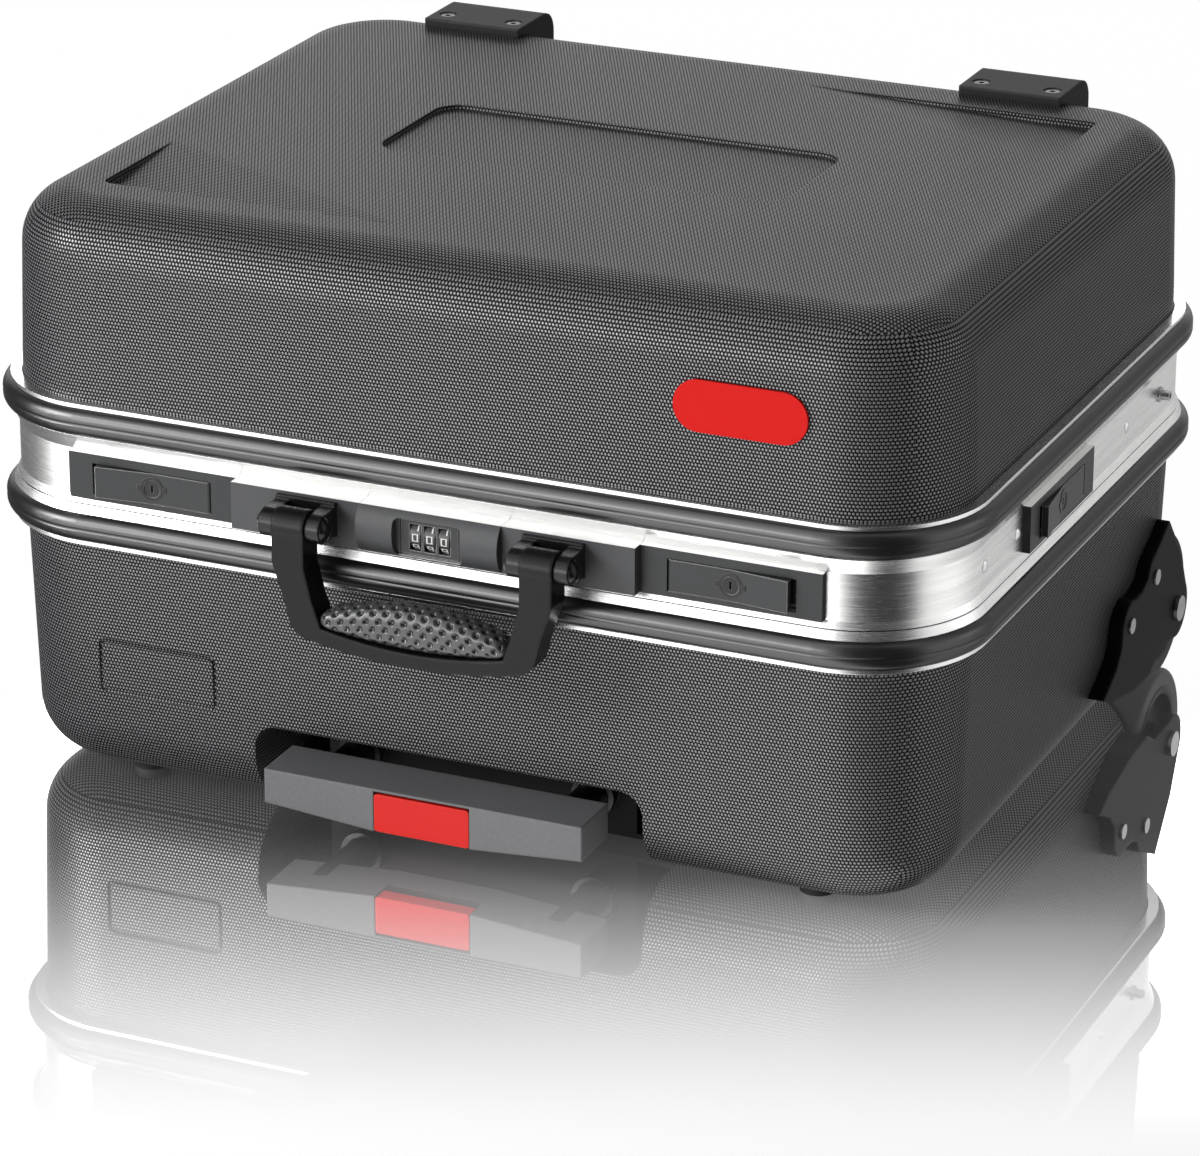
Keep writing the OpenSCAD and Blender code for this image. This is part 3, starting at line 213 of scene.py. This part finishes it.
world = bpy.data.worlds.new("studio_world")
bpy.context.scene.world = world
world.use_nodes = True
tree = world.node_tree
tree.nodes.clear()
path = node(tree, "ShaderNodeLightPath").outputs
clear = maths(tree, "MAXIMUM", path["Is Camera Ray"], path["Is Transmission Ray"])
clear = maths(tree, "MAXIMUM", clear, path["Is Singular Ray"])
dim = mixed(tree, path["Is Glossy Ray"], ambient_level,
            placed(tree, room_group(True)).outputs[0])
ambient = node(tree, "ShaderNodeBackground", {"Color": white, "Strength": dim})
open_sky = node(tree, "ShaderNodeBackground", {"Color": white, "Strength": 1.0})
blend = node(tree, "ShaderNodeMixShader", {"Fac": clear, 1: ambient.outputs[0],
             2: open_sky.outputs[0]})
node(tree, "ShaderNodeOutputWorld", {"Surface": blend.outputs[0]})


# ---- Shells -----------------------------------------------------------------------------------
# Two deep halves moulded in charcoal ABS. The mould gives them staggered rows of small pips, less
# than two millimetres apart; their tops carry a painted highlight and the gaps between them painted
# shade, in colour and in shine. The sunk fields have the same skin.

def pips_group():
    """Staggered rows of small pips on whichever of three planes a face looks along. With u and v
    as angles that turn once per pitch, the height is a weighted sum of cos v and
    cos u cos(v/2), eased between a floor and a crown."""
    level_enough, row_share, floor, crown = 0.72, 0.36, -0.38, 0.46
    tree, given, out = group_of("moulded_pips", {"Pitch": "Float"}, {"Height": "Float"})
    where = node(tree, "ShaderNodeTexCoord")
    at = node(tree, "ShaderNodeSeparateXYZ", {"Vector": where.outputs["Object"]}).outputs
    way = node(tree, "ShaderNodeSeparateXYZ", {"Vector": where.outputs["Normal"]}).outputs
    nx, ny, nz = (maths(tree, "ABSOLUTE", part) for part in way)
    side = maths(tree, "GREATER_THAN", nx, ny)
    top = maths(tree, "GREATER_THAN", nz, level_enough)
    across = mixed(tree, top, mixed(tree, side, at[0], at[1]), at[0])
    up = mixed(tree, top, at[2], at[1])
    u, v = (maths(tree, "MULTIPLY", maths(tree, "DIVIDE", line, given.outputs["Pitch"]),
                  2.0 * math.pi) for line in (across, up))
    rows = maths(tree, "MULTIPLY", maths(tree, "COSINE", v), row_share)
    stagger = maths(tree, "COSINE", maths(tree, "MULTIPLY", v, 0.5))
    between = maths(tree, "MULTIPLY", maths(tree, "COSINE", u), stagger)
    total = maths(tree, "ADD", rows, maths(tree, "MULTIPLY", between, 1.0 - row_share))
    height = spread(tree, total, 0.0, 1.0, start=floor, end=crown, kind="SMOOTHSTEP")
    tree.links.new(height, out.inputs["Height"])
    return tree


def speckle_group():
    """Fine grain and slow cloudiness from two noises of the object's own coordinates."""
    tree, given, out = group_of("speckle", {"Grains": "Float", "Clouds": "Float"},
                                {"Grain": "Float", "Cloud": "Float"})
    where = node(tree, "ShaderNodeTexCoord").outputs["Object"]
    for mark, scale, detail in (("Grain", "Grains", 2.0), ("Cloud", "Clouds", 3.0)):
        noise = node(tree, "ShaderNodeTexNoise", {"Vector": where, "Scale": given.outputs[scale],
                     "Detail": detail})
        tree.links.new(noise.outputs["Fac"], out.inputs[mark])
    return tree


def eased_group():
    """Rounds an edge for the light only, and marks where the face turns away at that edge."""
    still_flat, fully_turned = 0.99, 0.85
    tree, given, out = group_of("eased_edge", {"Radius": "Float"},
                                {"Normal": "Vector", "Edge": "Float"})
    round_off = node(tree, "ShaderNodeBevel", {"Radius": given.outputs["Radius"]}, samples=4)
    plain = node(tree, "ShaderNodeNewGeometry")
    same = node(tree, "ShaderNodeVectorMath", {0: round_off.outputs[0],
                1: plain.outputs["Normal"]}, operation="DOT_PRODUCT")
    worn = spread(tree, same.outputs["Value"], 0.0, 1.0, start=still_flat, end=fully_turned)
    tree.links.new(round_off.outputs[0], out.inputs["Normal"])
    tree.links.new(worn, out.inputs["Edge"])
    return tree


pips = pips_group()
speckle = speckle_group()
eased = eased_group()


def tinted(tree, factor, low, high):
    """Goes from one colour to another as the factor goes from nought to one."""
    ends = {key: end if isinstance(end, bpy.types.NodeSocket) else (*end, 1)
            for key, end in ((6, low), (7, high))}
    return node(tree, "ShaderNodeMix", {"Factor": factor, **ends}, data_type="RGBA").outputs[2]


def level_gloss(tree, straight, aslant):
    """A specular level that goes from one value, where a face looks at the eye, to another at a
    flat angle, where the shine of a rough moulding is partly hidden by its own relief."""
    turned = node(tree, "ShaderNodeLayerWeight", {"Blend": 0.5}).outputs["Facing"]
    return spread(tree, turned, straight, aslant, start=0.12, end=0.60)


def surfaced(tree, inputs):
    """Ends a material with one surface of the given colour, roughness and so on."""
    skin = node(tree, "ShaderNodeBsdfPrincipled", inputs)
    node(tree, "ShaderNodeOutputMaterial", {"Surface": skin.outputs[0]})


def grained(name, low, high, edge, rough, grains, depth, ease=0.0006, metallic=0.0,
            specular=0.5, aslant=None):
    """Speckled, slightly cloudy skin between two colours, with a third along its worn edges."""
    cloud_share = 0.45
    made, tree = blank(name)
    marks = placed(tree, speckle, Grains=grains, Clouds=14.0).outputs
    level = node(tree, "ShaderNodeMath", {0: marks["Cloud"], 1: cloud_share,
                 2: maths(tree, "MULTIPLY", marks["Grain"], 1.0 - cloud_share)},
                 operation="MULTIPLY_ADD").outputs[0]
    body = tinted(tree, level, low, high)
    relief = node(tree, "ShaderNodeBump", {"Height": marks["Grain"], "Strength": 1.0,
                  "Distance": depth})
    if ease:
        rounded = placed(tree, eased, Radius=ease).outputs
        body = tinted(tree, rounded["Edge"], body, edge)
        tree.links.new(rounded["Normal"], relief.inputs["Normal"])
    surfaced(tree, {"Base Color": body, "Metallic": metallic, "Normal": relief.outputs[0],
                    "Roughness": spread(tree, marks["Grain"], rough - 0.06, rough + 0.08),
                    "Specular IOR Level": specular if aslant is None
                    else level_gloss(tree, specular, aslant)})
    return made


def shell_skin(pitch=0.00176, height=0.00020):
    """Charcoal with small pips, with a painted highlight on the pips' tops and painted shade in the
    gaps between them.
    """
    made, tree = blank("shell_skin")
    pip_relief_and_shade = placed(tree, pips, Pitch=pitch).outputs[0]
    marks = placed(tree, speckle, Grains=2600.0, Clouds=9.0).outputs
    rounded = placed(tree, eased, Radius=0.0012).outputs
    # Painted light: the colour runs from near-black painted shade in the gaps between the pips to a
    # painted highlight on their tops.
    body = tinted(tree, pip_relief_and_shade, (0.002, 0.002, 0.0022), (0.132, 0.134, 0.141))
    tone = node(tree, "ShaderNodeVectorMath", {0: body, "Scale": spread(tree, marks["Cloud"],
                0.86, 1.14)}, operation="SCALE").outputs[0]
    relief = node(tree, "ShaderNodeBump", {"Height": pip_relief_and_shade, "Strength": 1.0, "Distance": height,
                  "Normal": rounded["Normal"]})
    surfaced(tree, {"Base Color": tinted(tree, rounded["Edge"], tone, (0.05, 0.052, 0.055)),
                    "Roughness": spread(tree, marks["Grain"], 0.30, 0.42),
                    # The shine is also cut in the gaps between the pips, as painted shade.
                    "Specular IOR Level": maths(tree, "MULTIPLY", level_gloss(tree, 1.0, 0.16),
                                                spread(tree, pip_relief_and_shade, 0.05, 1.5)),
                    "Normal": relief.outputs[0]})
    return made


def dress(material, *names):
    """Gives CAD pieces one material in place of the one they came with."""
    for name in names:
        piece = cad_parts[name]
        piece.data.materials.clear()
        piece.data.materials.append(material)


dress(shell_skin(), "base_shell", "lid_shell")


# ---- Frames and bumpers -----------------------------------------------------------------------
# Each shell's rim sits in a drawn aluminium strip, mitre-free and brushed lengthways. A bumper of
# black PVC is pressed into the strip's channel all round, and a dark seal closes the two frames.

def drawn_group():
    """Long thin scratches along a level strip: noise squeezed in height and stretched round it."""
    tree, given, out = group_of("drawn_lines", {"Fineness": "Float"},
                                {"Line": "Float", "Streak": "Float"})
    squeezed = node(tree, "ShaderNodeMapping", {"Scale": (7.0, 7.0, 240.0), "Vector":
                    node(tree, "ShaderNodeTexCoord").outputs["Object"]}).outputs[0]
    fine = node(tree, "ShaderNodeTexNoise", {"Vector": squeezed, "Detail": 4.0,
                "Scale": given.outputs["Fineness"], "Roughness": 0.7})
    broad = node(tree, "ShaderNodeTexNoise", {"Vector": squeezed, "Detail": 2.0, "Scale": 1.2})
    tree.links.new(fine.outputs["Fac"], out.inputs["Line"])
    tree.links.new(broad.outputs["Fac"], out.inputs["Streak"])
    return tree


def window_group():
    """Marks the frame behind the four latch windows, two ahead and two at the sides: one inside
    the boxes that the levers fill, nought elsewhere. The frame is painted near-black there as
    shade."""
    margin, past_end, behind = 0.0003, 0.0031, 0.004
    tree, _, out = group_of("latch_windows", {}, {"Inside": "Float"})
    place = node(tree, "ShaderNodeTexCoord").outputs["Object"]
    at = node(tree, "ShaderNodeSeparateXYZ", {"Vector": place}).outputs
    aside = maths(tree, "ABSOLUTE", at[0])

    def between(value, low, high):
        return maths(tree, "MULTIPLY", maths(tree, "GREATER_THAN", value, low),
                     maths(tree, "LESS_THAN", value, high))

    low, high = (Vector(corner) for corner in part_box("lever_front_right"))
    level = between(at[2], low.z - margin, high.z + margin)
    ahead = maths(tree, "MULTIPLY", between(aside, low.x - margin, high.x + past_end),
                  maths(tree, "LESS_THAN", at[1], high.y - behind))
    low, high = (Vector(corner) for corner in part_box("lever_side_right"))
    beside = maths(tree, "MULTIPLY", between(at[1], low.y - past_end, high.y + margin),
                   maths(tree, "GREATER_THAN", aside, low.x + behind))
    inside = maths(tree, "MULTIPLY", level, maths(tree, "MAXIMUM", ahead, beside))
    tree.links.new(inside, out.inputs["Inside"])
    return tree


drawn = drawn_group()
windows = window_group()


def brushed(name, dark, light, rough, fineness=9.0, shaded_windows=False):
    """Bright metal with lengthways scratches in its colour, roughness and relief; where asked,
    painted shade behind the latch windows.
    """
    made, tree = blank(name)
    lines = placed(tree, drawn, Fineness=fineness).outputs
    rounded = placed(tree, eased, Radius=0.0004).outputs
    level = mixed(tree, 0.4, lines["Line"], lines["Streak"])
    body = tinted(tree, spread(tree, level, 0.0, 1.0, start=0.3, end=0.7), dark, light)
    window_shade = placed(tree, windows).outputs[0] if shaded_windows else 0.0
    relief = node(tree, "ShaderNodeBump", {"Height": lines["Line"], "Strength": 0.8,
                  "Distance": 0.00004, "Normal": rounded["Normal"]})
    along = node(tree, "ShaderNodeTangent", direction_type="RADIAL", axis="Z")
    # Behind the latch windows the strip is painted near-black and not metallic, as painted shade.
    surfaced(tree, {"Base Color": tinted(tree, window_shade, body, (0.01, 0.01, 0.01)),
                    "Metallic": maths(tree, "SUBTRACT", 1.0, window_shade),
                    "Roughness": spread(tree, lines["Line"], rough - 0.08, rough + 0.1),
                    "Anisotropic": 0.72, "Tangent": along.outputs[0],
                    "Normal": relief.outputs[0]})
    return made


# The frame strip is painted near-black behind the latch levers, as shade.
dress(brushed("frame_strip", (0.70, 0.70, 0.695), (0.95, 0.95, 0.94), rough=0.24,
              shaded_windows=True), "base_frame", "lid_frame")
dress(grained("bumper_pvc", (0.008, 0.008, 0.009), (0.015, 0.015, 0.016), (0.03, 0.03, 0.03),
              rough=0.30, grains=900.0, depth=0.000005, ease=0.0, specular=1.0, aslant=0.16),
      "base_bumper", "lid_bumper")
dress(grained("seal_foam", (0.006, 0.006, 0.006), (0.014, 0.014, 0.014), (0.01, 0.01, 0.01),
              rough=0.75, grains=1800.0, depth=0.00008), "frame_seal")


# ---- Hinges, stays and keepers ----------------------------------------------------------------
# Rolled steel leaves on steel pins at the back, slotted flat arms that hold the open lid, and the
# punched strike plates inside the base frame. All are plain zinc-plated steel.

plated = brushed("plated_steel", (0.42, 0.43, 0.44), (0.66, 0.66, 0.67), rough=0.38,
                 fineness=16.0)
dress(plated, "hinge_base_leaves", "hinge_lid_leaves", "hinge_pins", "stay_brackets",
      "stay_arm_left", "stay_arm_right", "stay_studs", "latch_keepers")


# ---- Latches ----------------------------------------------------------------------------------
# A die-cast plate with a long window, and in it a lever on an upright pin whose free end stands
# proud. Both have a hard dark grey lacquer that is rubbed bright along the lever's edges.

def painted_light_on_tops(material):
    """Paints the faces that look straight up a bright, partly metallic grey: painted light on the
    castings' tops.
    """
    straight_up, lit_top_grey, lit_top_metallic = 0.9, (0.86, 0.86, 0.85), 0.7
    tree = material.node_tree
    skin = next(n for n in tree.nodes if n.type == "BSDF_PRINCIPLED")
    painted = skin.inputs["Base Color"].links[0].from_socket
    facing_way = node(tree, "ShaderNodeTexCoord").outputs["Normal"]
    way = node(tree, "ShaderNodeSeparateXYZ", {"Vector": facing_way})
    lit_top = maths(tree, "GREATER_THAN", way.outputs[2], straight_up)
    tree.links.new(tinted(tree, lit_top, painted, lit_top_grey), skin.inputs["Base Color"])
    tree.links.new(maths(tree, "MULTIPLY", lit_top, lit_top_metallic), skin.inputs["Metallic"])
    return material


# The latch plates' upward faces carry painted light in a bright grey.
plate_paint = painted_light_on_tops(grained("plate_lacquer", (0.018, 0.019, 0.020), (0.044, 0.046, 0.048),
                                  (0.06, 0.06, 0.062), rough=0.42, grains=1500.0,
                                  depth=0.00007, ease=0.0004, specular=0.3))
lever_paint = grained("lever_lacquer", (0.020, 0.021, 0.022), (0.050, 0.052, 0.054),
                      (0.60, 0.60, 0.61), rough=0.38, grains=1500.0, depth=0.00006, ease=0.0007,
                      specular=0.3)
plug_metal = grained("plug_zinc", (0.008, 0.008, 0.009), (0.022, 0.022, 0.024),
                     (0.30, 0.30, 0.31), rough=0.34, grains=1900.0, depth=0.00003, ease=0.00035,
                     specular=0.3)
dress(plate_paint, "front_latch_plates", "side_latch_plates")


def eared_ring(middle, along, out, slope, steps=96):
    """Points and faces of a raised ring with two ears. Round it the outline's radius is `outer`,
    but min(reach, ear / |sin a|) wherever that is more. It lies square to `out`, and bends up by
    `slope` on the side towards the lever's free end, where `along` points."""
    inner, outer, reach, ear = 0.00445, 0.0061, 0.0078, 0.0015
    proud, shoulder, chamfer, foot = 0.00035, 0.00028, 0.0002, -0.0001
    across = np.cross(out, along)
    a = np.linspace(0.0, 2.0 * math.pi, steps, endpoint=False)
    hole = np.full(steps, inner)
    rim = np.maximum(outer, np.minimum(reach, ear / np.maximum(np.abs(np.sin(a)), 1e-6)))
    rings = [(hole, foot), (hole, shoulder), (hole + chamfer, proud), (rim - chamfer, proud),
             (rim, shoulder), (rim, foot)]
    points = np.concatenate([
        middle + np.outer(r * np.cos(a), along) + np.outer(r * np.sin(a), across)
        + np.outer(height + slope * np.maximum(r * np.cos(a), 0.0), out) for r, height in rings])
    faces = [(k * steps + i, k * steps + (i + 1) % steps,
              (k + 1) % len(rings) * steps + (i + 1) % steps, (k + 1) % len(rings) * steps + i)
             for k in range(len(rings)) for i in range(steps)]
    return points, faces


for place_name in ("front_left", "front_right", "side_left", "side_right"):
    dress(lever_paint, "lever_" + place_name)
    dress(plug_metal, "plug_" + place_name)
    low, high = (np.array(corner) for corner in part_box("plug_" + place_name))
    lever_low, lever_high = (np.array(corner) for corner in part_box("lever_" + place_name))
    hand = 1.0 if place_name.endswith("right") else -1.0
    middle = (low + high) / 2.0
    if place_name.startswith("front"):
        out, along = np.array((0.0, -1.0, 0.0)), np.array((hand, 0.0, 0.0))
        middle[1] = low[1]
        run = (lever_high[0] - lever_low[0]) / 2.0
        rise = low[1] - lever_low[1]
    else:
        out, along = np.array((hand, 0.0, 0.0)), np.array((0.0, -1.0, 0.0))
        middle[0] = high[0] if hand > 0 else low[0]
        run = middle[1] - lever_low[1]
        rise = abs(lever_high[0] if hand > 0 else lever_low[0]) - abs(middle[0])
    ring = sheet_of("plug_ring_" + place_name, *eared_ring(middle, along, out, rise / run))
    ring.data.materials.append(plug_metal)
    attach(ring, "lever_" + place_name + "_body")


# ---- Handle plates and combination lock -------------------------------------------------------
# Three lacquered castings side by side. The middle one bulges and has a sunk dial with three
# ten-sided wheels, black with white figures, that turn on one axle behind their slots.

# The castings' upward faces carry painted light in a bright grey.
dress(painted_light_on_tops(grained("casting_lacquer", (0.030, 0.031, 0.033), (0.075, 0.077, 0.080),
                          (0.10, 0.10, 0.105), rough=0.46, grains=1300.0, depth=0.0001,
                          ease=0.0005, specular=0.4)), "handle_plates", "combination_plate")
dress(lever_paint, "combination_case")
dress(plated, "digit_axle")
dress(grained("digit_black", (0.006, 0.006, 0.006), (0.012, 0.012, 0.012), (0.03, 0.03, 0.03),
              rough=0.30, grains=1500.0, depth=0.00002, ease=0.0003), "digit_wheel_1",
      "digit_wheel_2", "digit_wheel_3")


def figure_bars(figure):
    """The strokes of a plain figure from 0 to 9 as boxes (x0, x1, z0, z1) in a field that reaches
    from -1 to 1 both ways, drawn with up to seven straight bars."""
    w = 0.22
    bars = {"top": (-1, 1, 1 - w, 1), "mid": (-1, 1, -w / 2, w / 2), "low": (-1, 1, -1, w - 1),
            "ul": (-1, 2 * w - 1, 0, 1), "ur": (1 - 2 * w, 1, 0, 1),
            "ll": (-1, 2 * w - 1, -1, 0), "lr": (1 - 2 * w, 1, -1, 0)}
    parts = ("top ul ur ll lr low", "ur lr", "top ur mid ll low", "top ur mid lr low",
             "ul ur mid lr", "top ul mid lr low", "top ul mid ll lr low", "top ur lr",
             "top ul ur mid ll lr low", "top ul ur mid lr low")[figure]
    return [bars[part] for part in parts.split()]


def wheel_figures(hub, radius):
    """Points and faces of the ten figures round one wheel, bent to its radius and sunk into it."""
    half_x, half_z, bend_steps, depths = 0.0016, 0.0019, 5, (-0.00035, 0.00004)
    end = 2 * (bend_steps - 1)
    points, faces = [], []
    for figure in range(10):
        for x0, x1, z0, z1 in figure_bars(figure):
            bend = np.linspace(z0, z1, bend_steps) * half_z / radius + figure * math.pi / 5.0
            under = len(points)
            over = under + 2 * bend_steps
            points += [(hub[0] + x * half_x, hub[1] - (radius + depth) * math.cos(turned),
                        hub[2] + (radius + depth) * math.sin(turned))
                       for depth in depths for turned in bend for x in (x0, x1)]
            for a, b in zip(range(over, over + end, 2), range(under, under + end, 2)):
                faces += [(a, a + 1, a + 3, a + 2), (b, b + 2, b + 3, b + 1),
                          (a, a + 2, b + 2, b), (a + 1, b + 1, b + 3, a + 3)]
            faces += [(over, under, under + 1, over + 1),
                      (over + end, over + end + 1, under + end + 1, under + end)]
    return points, faces


white_paint = grained("figure_white", (0.72, 0.72, 0.70), (0.82, 0.82, 0.80), (0.8, 0.8, 0.78),
                      rough=0.45, grains=1800.0, depth=0.00001, ease=0.0)
for number in (1, 2, 3):
    low, high = (np.array(corner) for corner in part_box("digit_wheel_%d" % number))
    figures = sheet_of("figures_%d" % number,
                       *wheel_figures((low + high) / 2.0, (high[2] - low[2]) / 2.0))
    figures.data.materials.append(white_paint)
    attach(figures, "digit_%d" % number)


# ---- Carry handle -----------------------------------------------------------------------------
# A nylon strap-like handle that hangs from two pins, with a softer grip moulded into its opening.
# The strap is satin black and the grip is covered with rows of round dimples.

dress(grained("handle_nylon", (0.004, 0.004, 0.005), (0.009, 0.009, 0.010), (0.02, 0.02, 0.021),
              rough=0.28, grains=1200.0, depth=0.00002, ease=0.0022, specular=0.18),
      "carry_handle")
dress(grained("bracket_nylon", (0.004, 0.004, 0.005), (0.010, 0.010, 0.011), (0.02, 0.02, 0.02),
              rough=0.24, grains=1200.0, depth=0.00001, ease=0.0012, specular=0.3),
      "handle_brackets", "handle_pins")


def dimpled_grip(long_steps=300, round_steps=180):
    """Points and faces of the grip: its section at each x is a superellipse between a lower and an
    upper arc, |y/b|**n + |z/h|**n = 1, and staggered rows of round dimples are pressed into it by
    depth * (1 - (r/R)**2)**2. Also how deeply each point is pressed, from nought to one."""
    low, high = (np.array(corner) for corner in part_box("handle_grip"))
    middle, half = (low + high) / 2.0, (high - low) / 2.0
    power, end, reach = 2.7, 0.97, half[0]
    lower_bow, upper_bow = 0.0050, 0.0095
    blunt_from, blunt_by, blunt_power = 0.86, 0.30, 2.2
    depth, dimple, spacing, row = 0.0014, 0.0021, 0.0066, 0.0040
    first_row, last_row, dimpled_part = -6, 4, 0.93

    def bulged(part):
        """A sine or cosine turned into the superellipse's own."""
        return np.sign(part) * np.abs(part) ** (2.0 / power)

    x = np.linspace(-end, end, long_steps)[:, None] * reach
    fine = np.linspace(-0.5 * math.pi, 1.5 * math.pi, 4001)
    run = np.concatenate([[0.0], np.cumsum(np.hypot(np.diff(half[1] * bulged(np.cos(fine))),
                                                    np.diff(half[2] * bulged(np.sin(fine)))))])
    a = np.interp(np.linspace(0.0, run[-1], round_steps, endpoint=False), run, fine)[None, :]
    floor = low[2] + lower_bow * (x / reach) ** 2
    crown = high[2] - upper_bow * (x / reach) ** 2
    past = np.clip((np.abs(x) / reach - blunt_from) / (end - blunt_from), 0, 1)
    blunt = 1.0 - past ** blunt_power * blunt_by
    rise, centre, wide = (crown - floor) / 2.0 * blunt, (crown + floor) / 2.0, half[1] * blunt
    y, z = -wide * bulged(np.cos(a)), rise * bulged(np.sin(a))
    ny = np.sign(y) * np.abs(y / wide) ** (power - 1) / wide
    nz = np.sign(z) * np.abs(z / rise) ** (power - 1) / rise
    size = np.sqrt(ny ** 2 + nz ** 2)
    step = np.sqrt(np.diff(y, axis=1, append=y[:, :1]) ** 2
                   + np.diff(z, axis=1, append=z[:, :1]) ** 2)
    way = np.cumsum(step, axis=1) - np.cumsum(step, axis=1)[:, round_steps // 2][:, None]
    line = np.round(way / row)
    shifted = x - np.where(line % 2 == 0, 0.0, spacing / 2.0)
    off = np.hypot(shifted - np.round(shifted / spacing) * spacing, way - line * row)
    dimpled = ((line >= first_row) & (line <= last_row) & (off < dimple)
               & (np.abs(x) < dimpled_part * reach))
    press = np.where(dimpled, depth * (1.0 - (off / dimple) ** 2) ** 2, 0.0)
    y = middle[1] + y - press * ny / size
    z = centre + z - press * nz / size
    x = np.broadcast_to(middle[0] + x, y.shape)
    points = np.stack([x, y, z], axis=2).reshape(-1, 3)
    i, j = np.meshgrid(np.arange(long_steps - 1), np.arange(round_steps), indexing="ij")
    k = (j + 1) % round_steps
    here, there = i * round_steps, (i + 1) * round_steps
    quads = np.stack([here + j, here + k, there + k, there + j], axis=2).reshape(-1, 4)
    last = (long_steps - 1) * round_steps
    caps = [list(range(round_steps))[::-1], list(range(last, last + round_steps))]
    return points, quads.tolist() + caps, (press / depth).reshape(-1)


def grip_skin():
    """Satin nylon with painted shade in its dimples, by the mesh's own measure of how deep they
    are.
    """
    made, tree = blank("grip_nylon")
    marks = placed(tree, speckle, Grains=1500.0, Clouds=30.0).outputs
    dimple_shade = node(tree, "ShaderNodeAttribute", attribute_name="pressed").outputs["Fac"]
    body = tinted(tree, marks["Grain"], (0.038, 0.039, 0.041), (0.080, 0.082, 0.085))
    # The dimples are painted near-black by their depth, as painted shade.
    surfaced(tree, {"Base Color": tinted(tree, dimple_shade, body, (0.004, 0.004, 0.004)),
                    "Roughness": 0.26, "Specular IOR Level": 0.6})
    return made


grip_points, grip_faces, grip_press = dimpled_grip()
cushion = sheet_of("dimpled_grip", grip_points, grip_faces)
mesh = cushion.data
mesh.polygons.foreach_set("use_smooth", [len(face) == 4 for face in grip_faces])
# The depth of each point is kept for the painted shade in the dimples.
mesh.attributes.new("pressed", "FLOAT", "POINT").data.foreach_set("value", grip_press)
mesh.materials.append(grip_skin())
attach(cushion, "handle")
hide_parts("handle_grip")


# ---- Rivets, badge and feet -------------------------------------------------------------------
# Aluminium rivets with flat domed heads through the side band, a plain red enamelled plate on the
# lid's front, and black moulded feet over the lid's rear edge held by two sunk screws each.

dress(brushed("rivet_alloy", (0.60, 0.60, 0.60), (0.80, 0.80, 0.80), rough=0.30, fineness=14.0),
      "frame_rivets")
dress(grained("badge_enamel", (0.68, 0.008, 0.007), (0.76, 0.012, 0.009), (0.55, 0.010, 0.008),
              rough=0.32, grains=700.0, depth=0.00001, ease=0.0005, specular=0.12), "badge")
dress(grained("foot_nylon", (0.008, 0.008, 0.009), (0.018, 0.018, 0.019), (0.05, 0.05, 0.052),
              rough=0.44, grains=1300.0, depth=0.00008, ease=0.002, specular=0.25, aslant=0.03),
      "stand_feet")
dress(grained("screw_oxide", (0.02, 0.02, 0.021), (0.045, 0.045, 0.046), (0.16, 0.16, 0.16),
              rough=0.34, grains=1500.0, depth=0.00003, metallic=0.8), "stand_foot_screws")
dress(grained("pad_rubber", (0.010, 0.010, 0.010), (0.022, 0.022, 0.022), (0.02, 0.02, 0.02),
              rough=0.7, grains=1400.0, depth=0.00008), "base_pads")


# ---- Wheels -----------------------------------------------------------------------------------
# Rubber-tyred nylon wheels on steel axles, each in a black moulded housing whose side plate is
# riveted to the shell.

dress(grained("housing_nylon", (0.005, 0.005, 0.006), (0.010, 0.010, 0.011), (0.02, 0.02, 0.02),
              rough=0.36, grains=1100.0, depth=0.00005, ease=0.003, specular=0.02),
      "wheel_housing_left", "wheel_housing_right", "wheel_hub_left", "wheel_hub_right")
dress(grained("tyre_rubber", (0.010, 0.010, 0.010), (0.020, 0.020, 0.020), (0.02, 0.02, 0.02),
              rough=0.62, grains=1300.0, depth=0.0001, ease=0.001), "wheel_tyre_left",
      "wheel_tyre_right")
dress(brushed("axle_steel", (0.34, 0.34, 0.35), (0.5, 0.5, 0.51), rough=0.36, fineness=14.0),
      "wheel_axles", "housing_rivets")


# ---- Pull handle ------------------------------------------------------------------------------
# Tubes coloured dark as painted shade of the recess they sit in, that slide in each other under
# the base, with a speckled nylon grip bar across their ends and a glossy red button that works the
# rods inside.

dress(grained("cover_nylon", (0.006, 0.006, 0.006), (0.012, 0.012, 0.012), (0.02, 0.02, 0.02),
              rough=0.6, grains=1000.0, depth=0.00008, ease=0.001, specular=0.25),
      "trolley_cover", "trolley_brackets")
# The tubes are painted dark as shade for the recess under the base.
dress(brushed("tube_shaded_alloy", (0.05, 0.05, 0.052), (0.08, 0.08, 0.082), rough=0.34, fineness=5.0),
      "trolley_outer_tubes", "trolley_middle_tubes", "trolley_inner_tubes")
dress(grained("grip_bar_nylon", (0.06, 0.061, 0.064), (0.20, 0.203, 0.21), (0.16, 0.16, 0.165),
              rough=0.5, grains=1300.0, depth=0.00016, ease=0.0015), "trolley_grip")
dress(grained("button_red", (0.66, 0.010, 0.008), (0.74, 0.014, 0.010), (0.9, 0.06, 0.04),
              rough=0.30, grains=900.0, depth=0.00002, ease=0.001, specular=0.25),
      "release_button")
dress(plated, "release_rods", "release_spring")
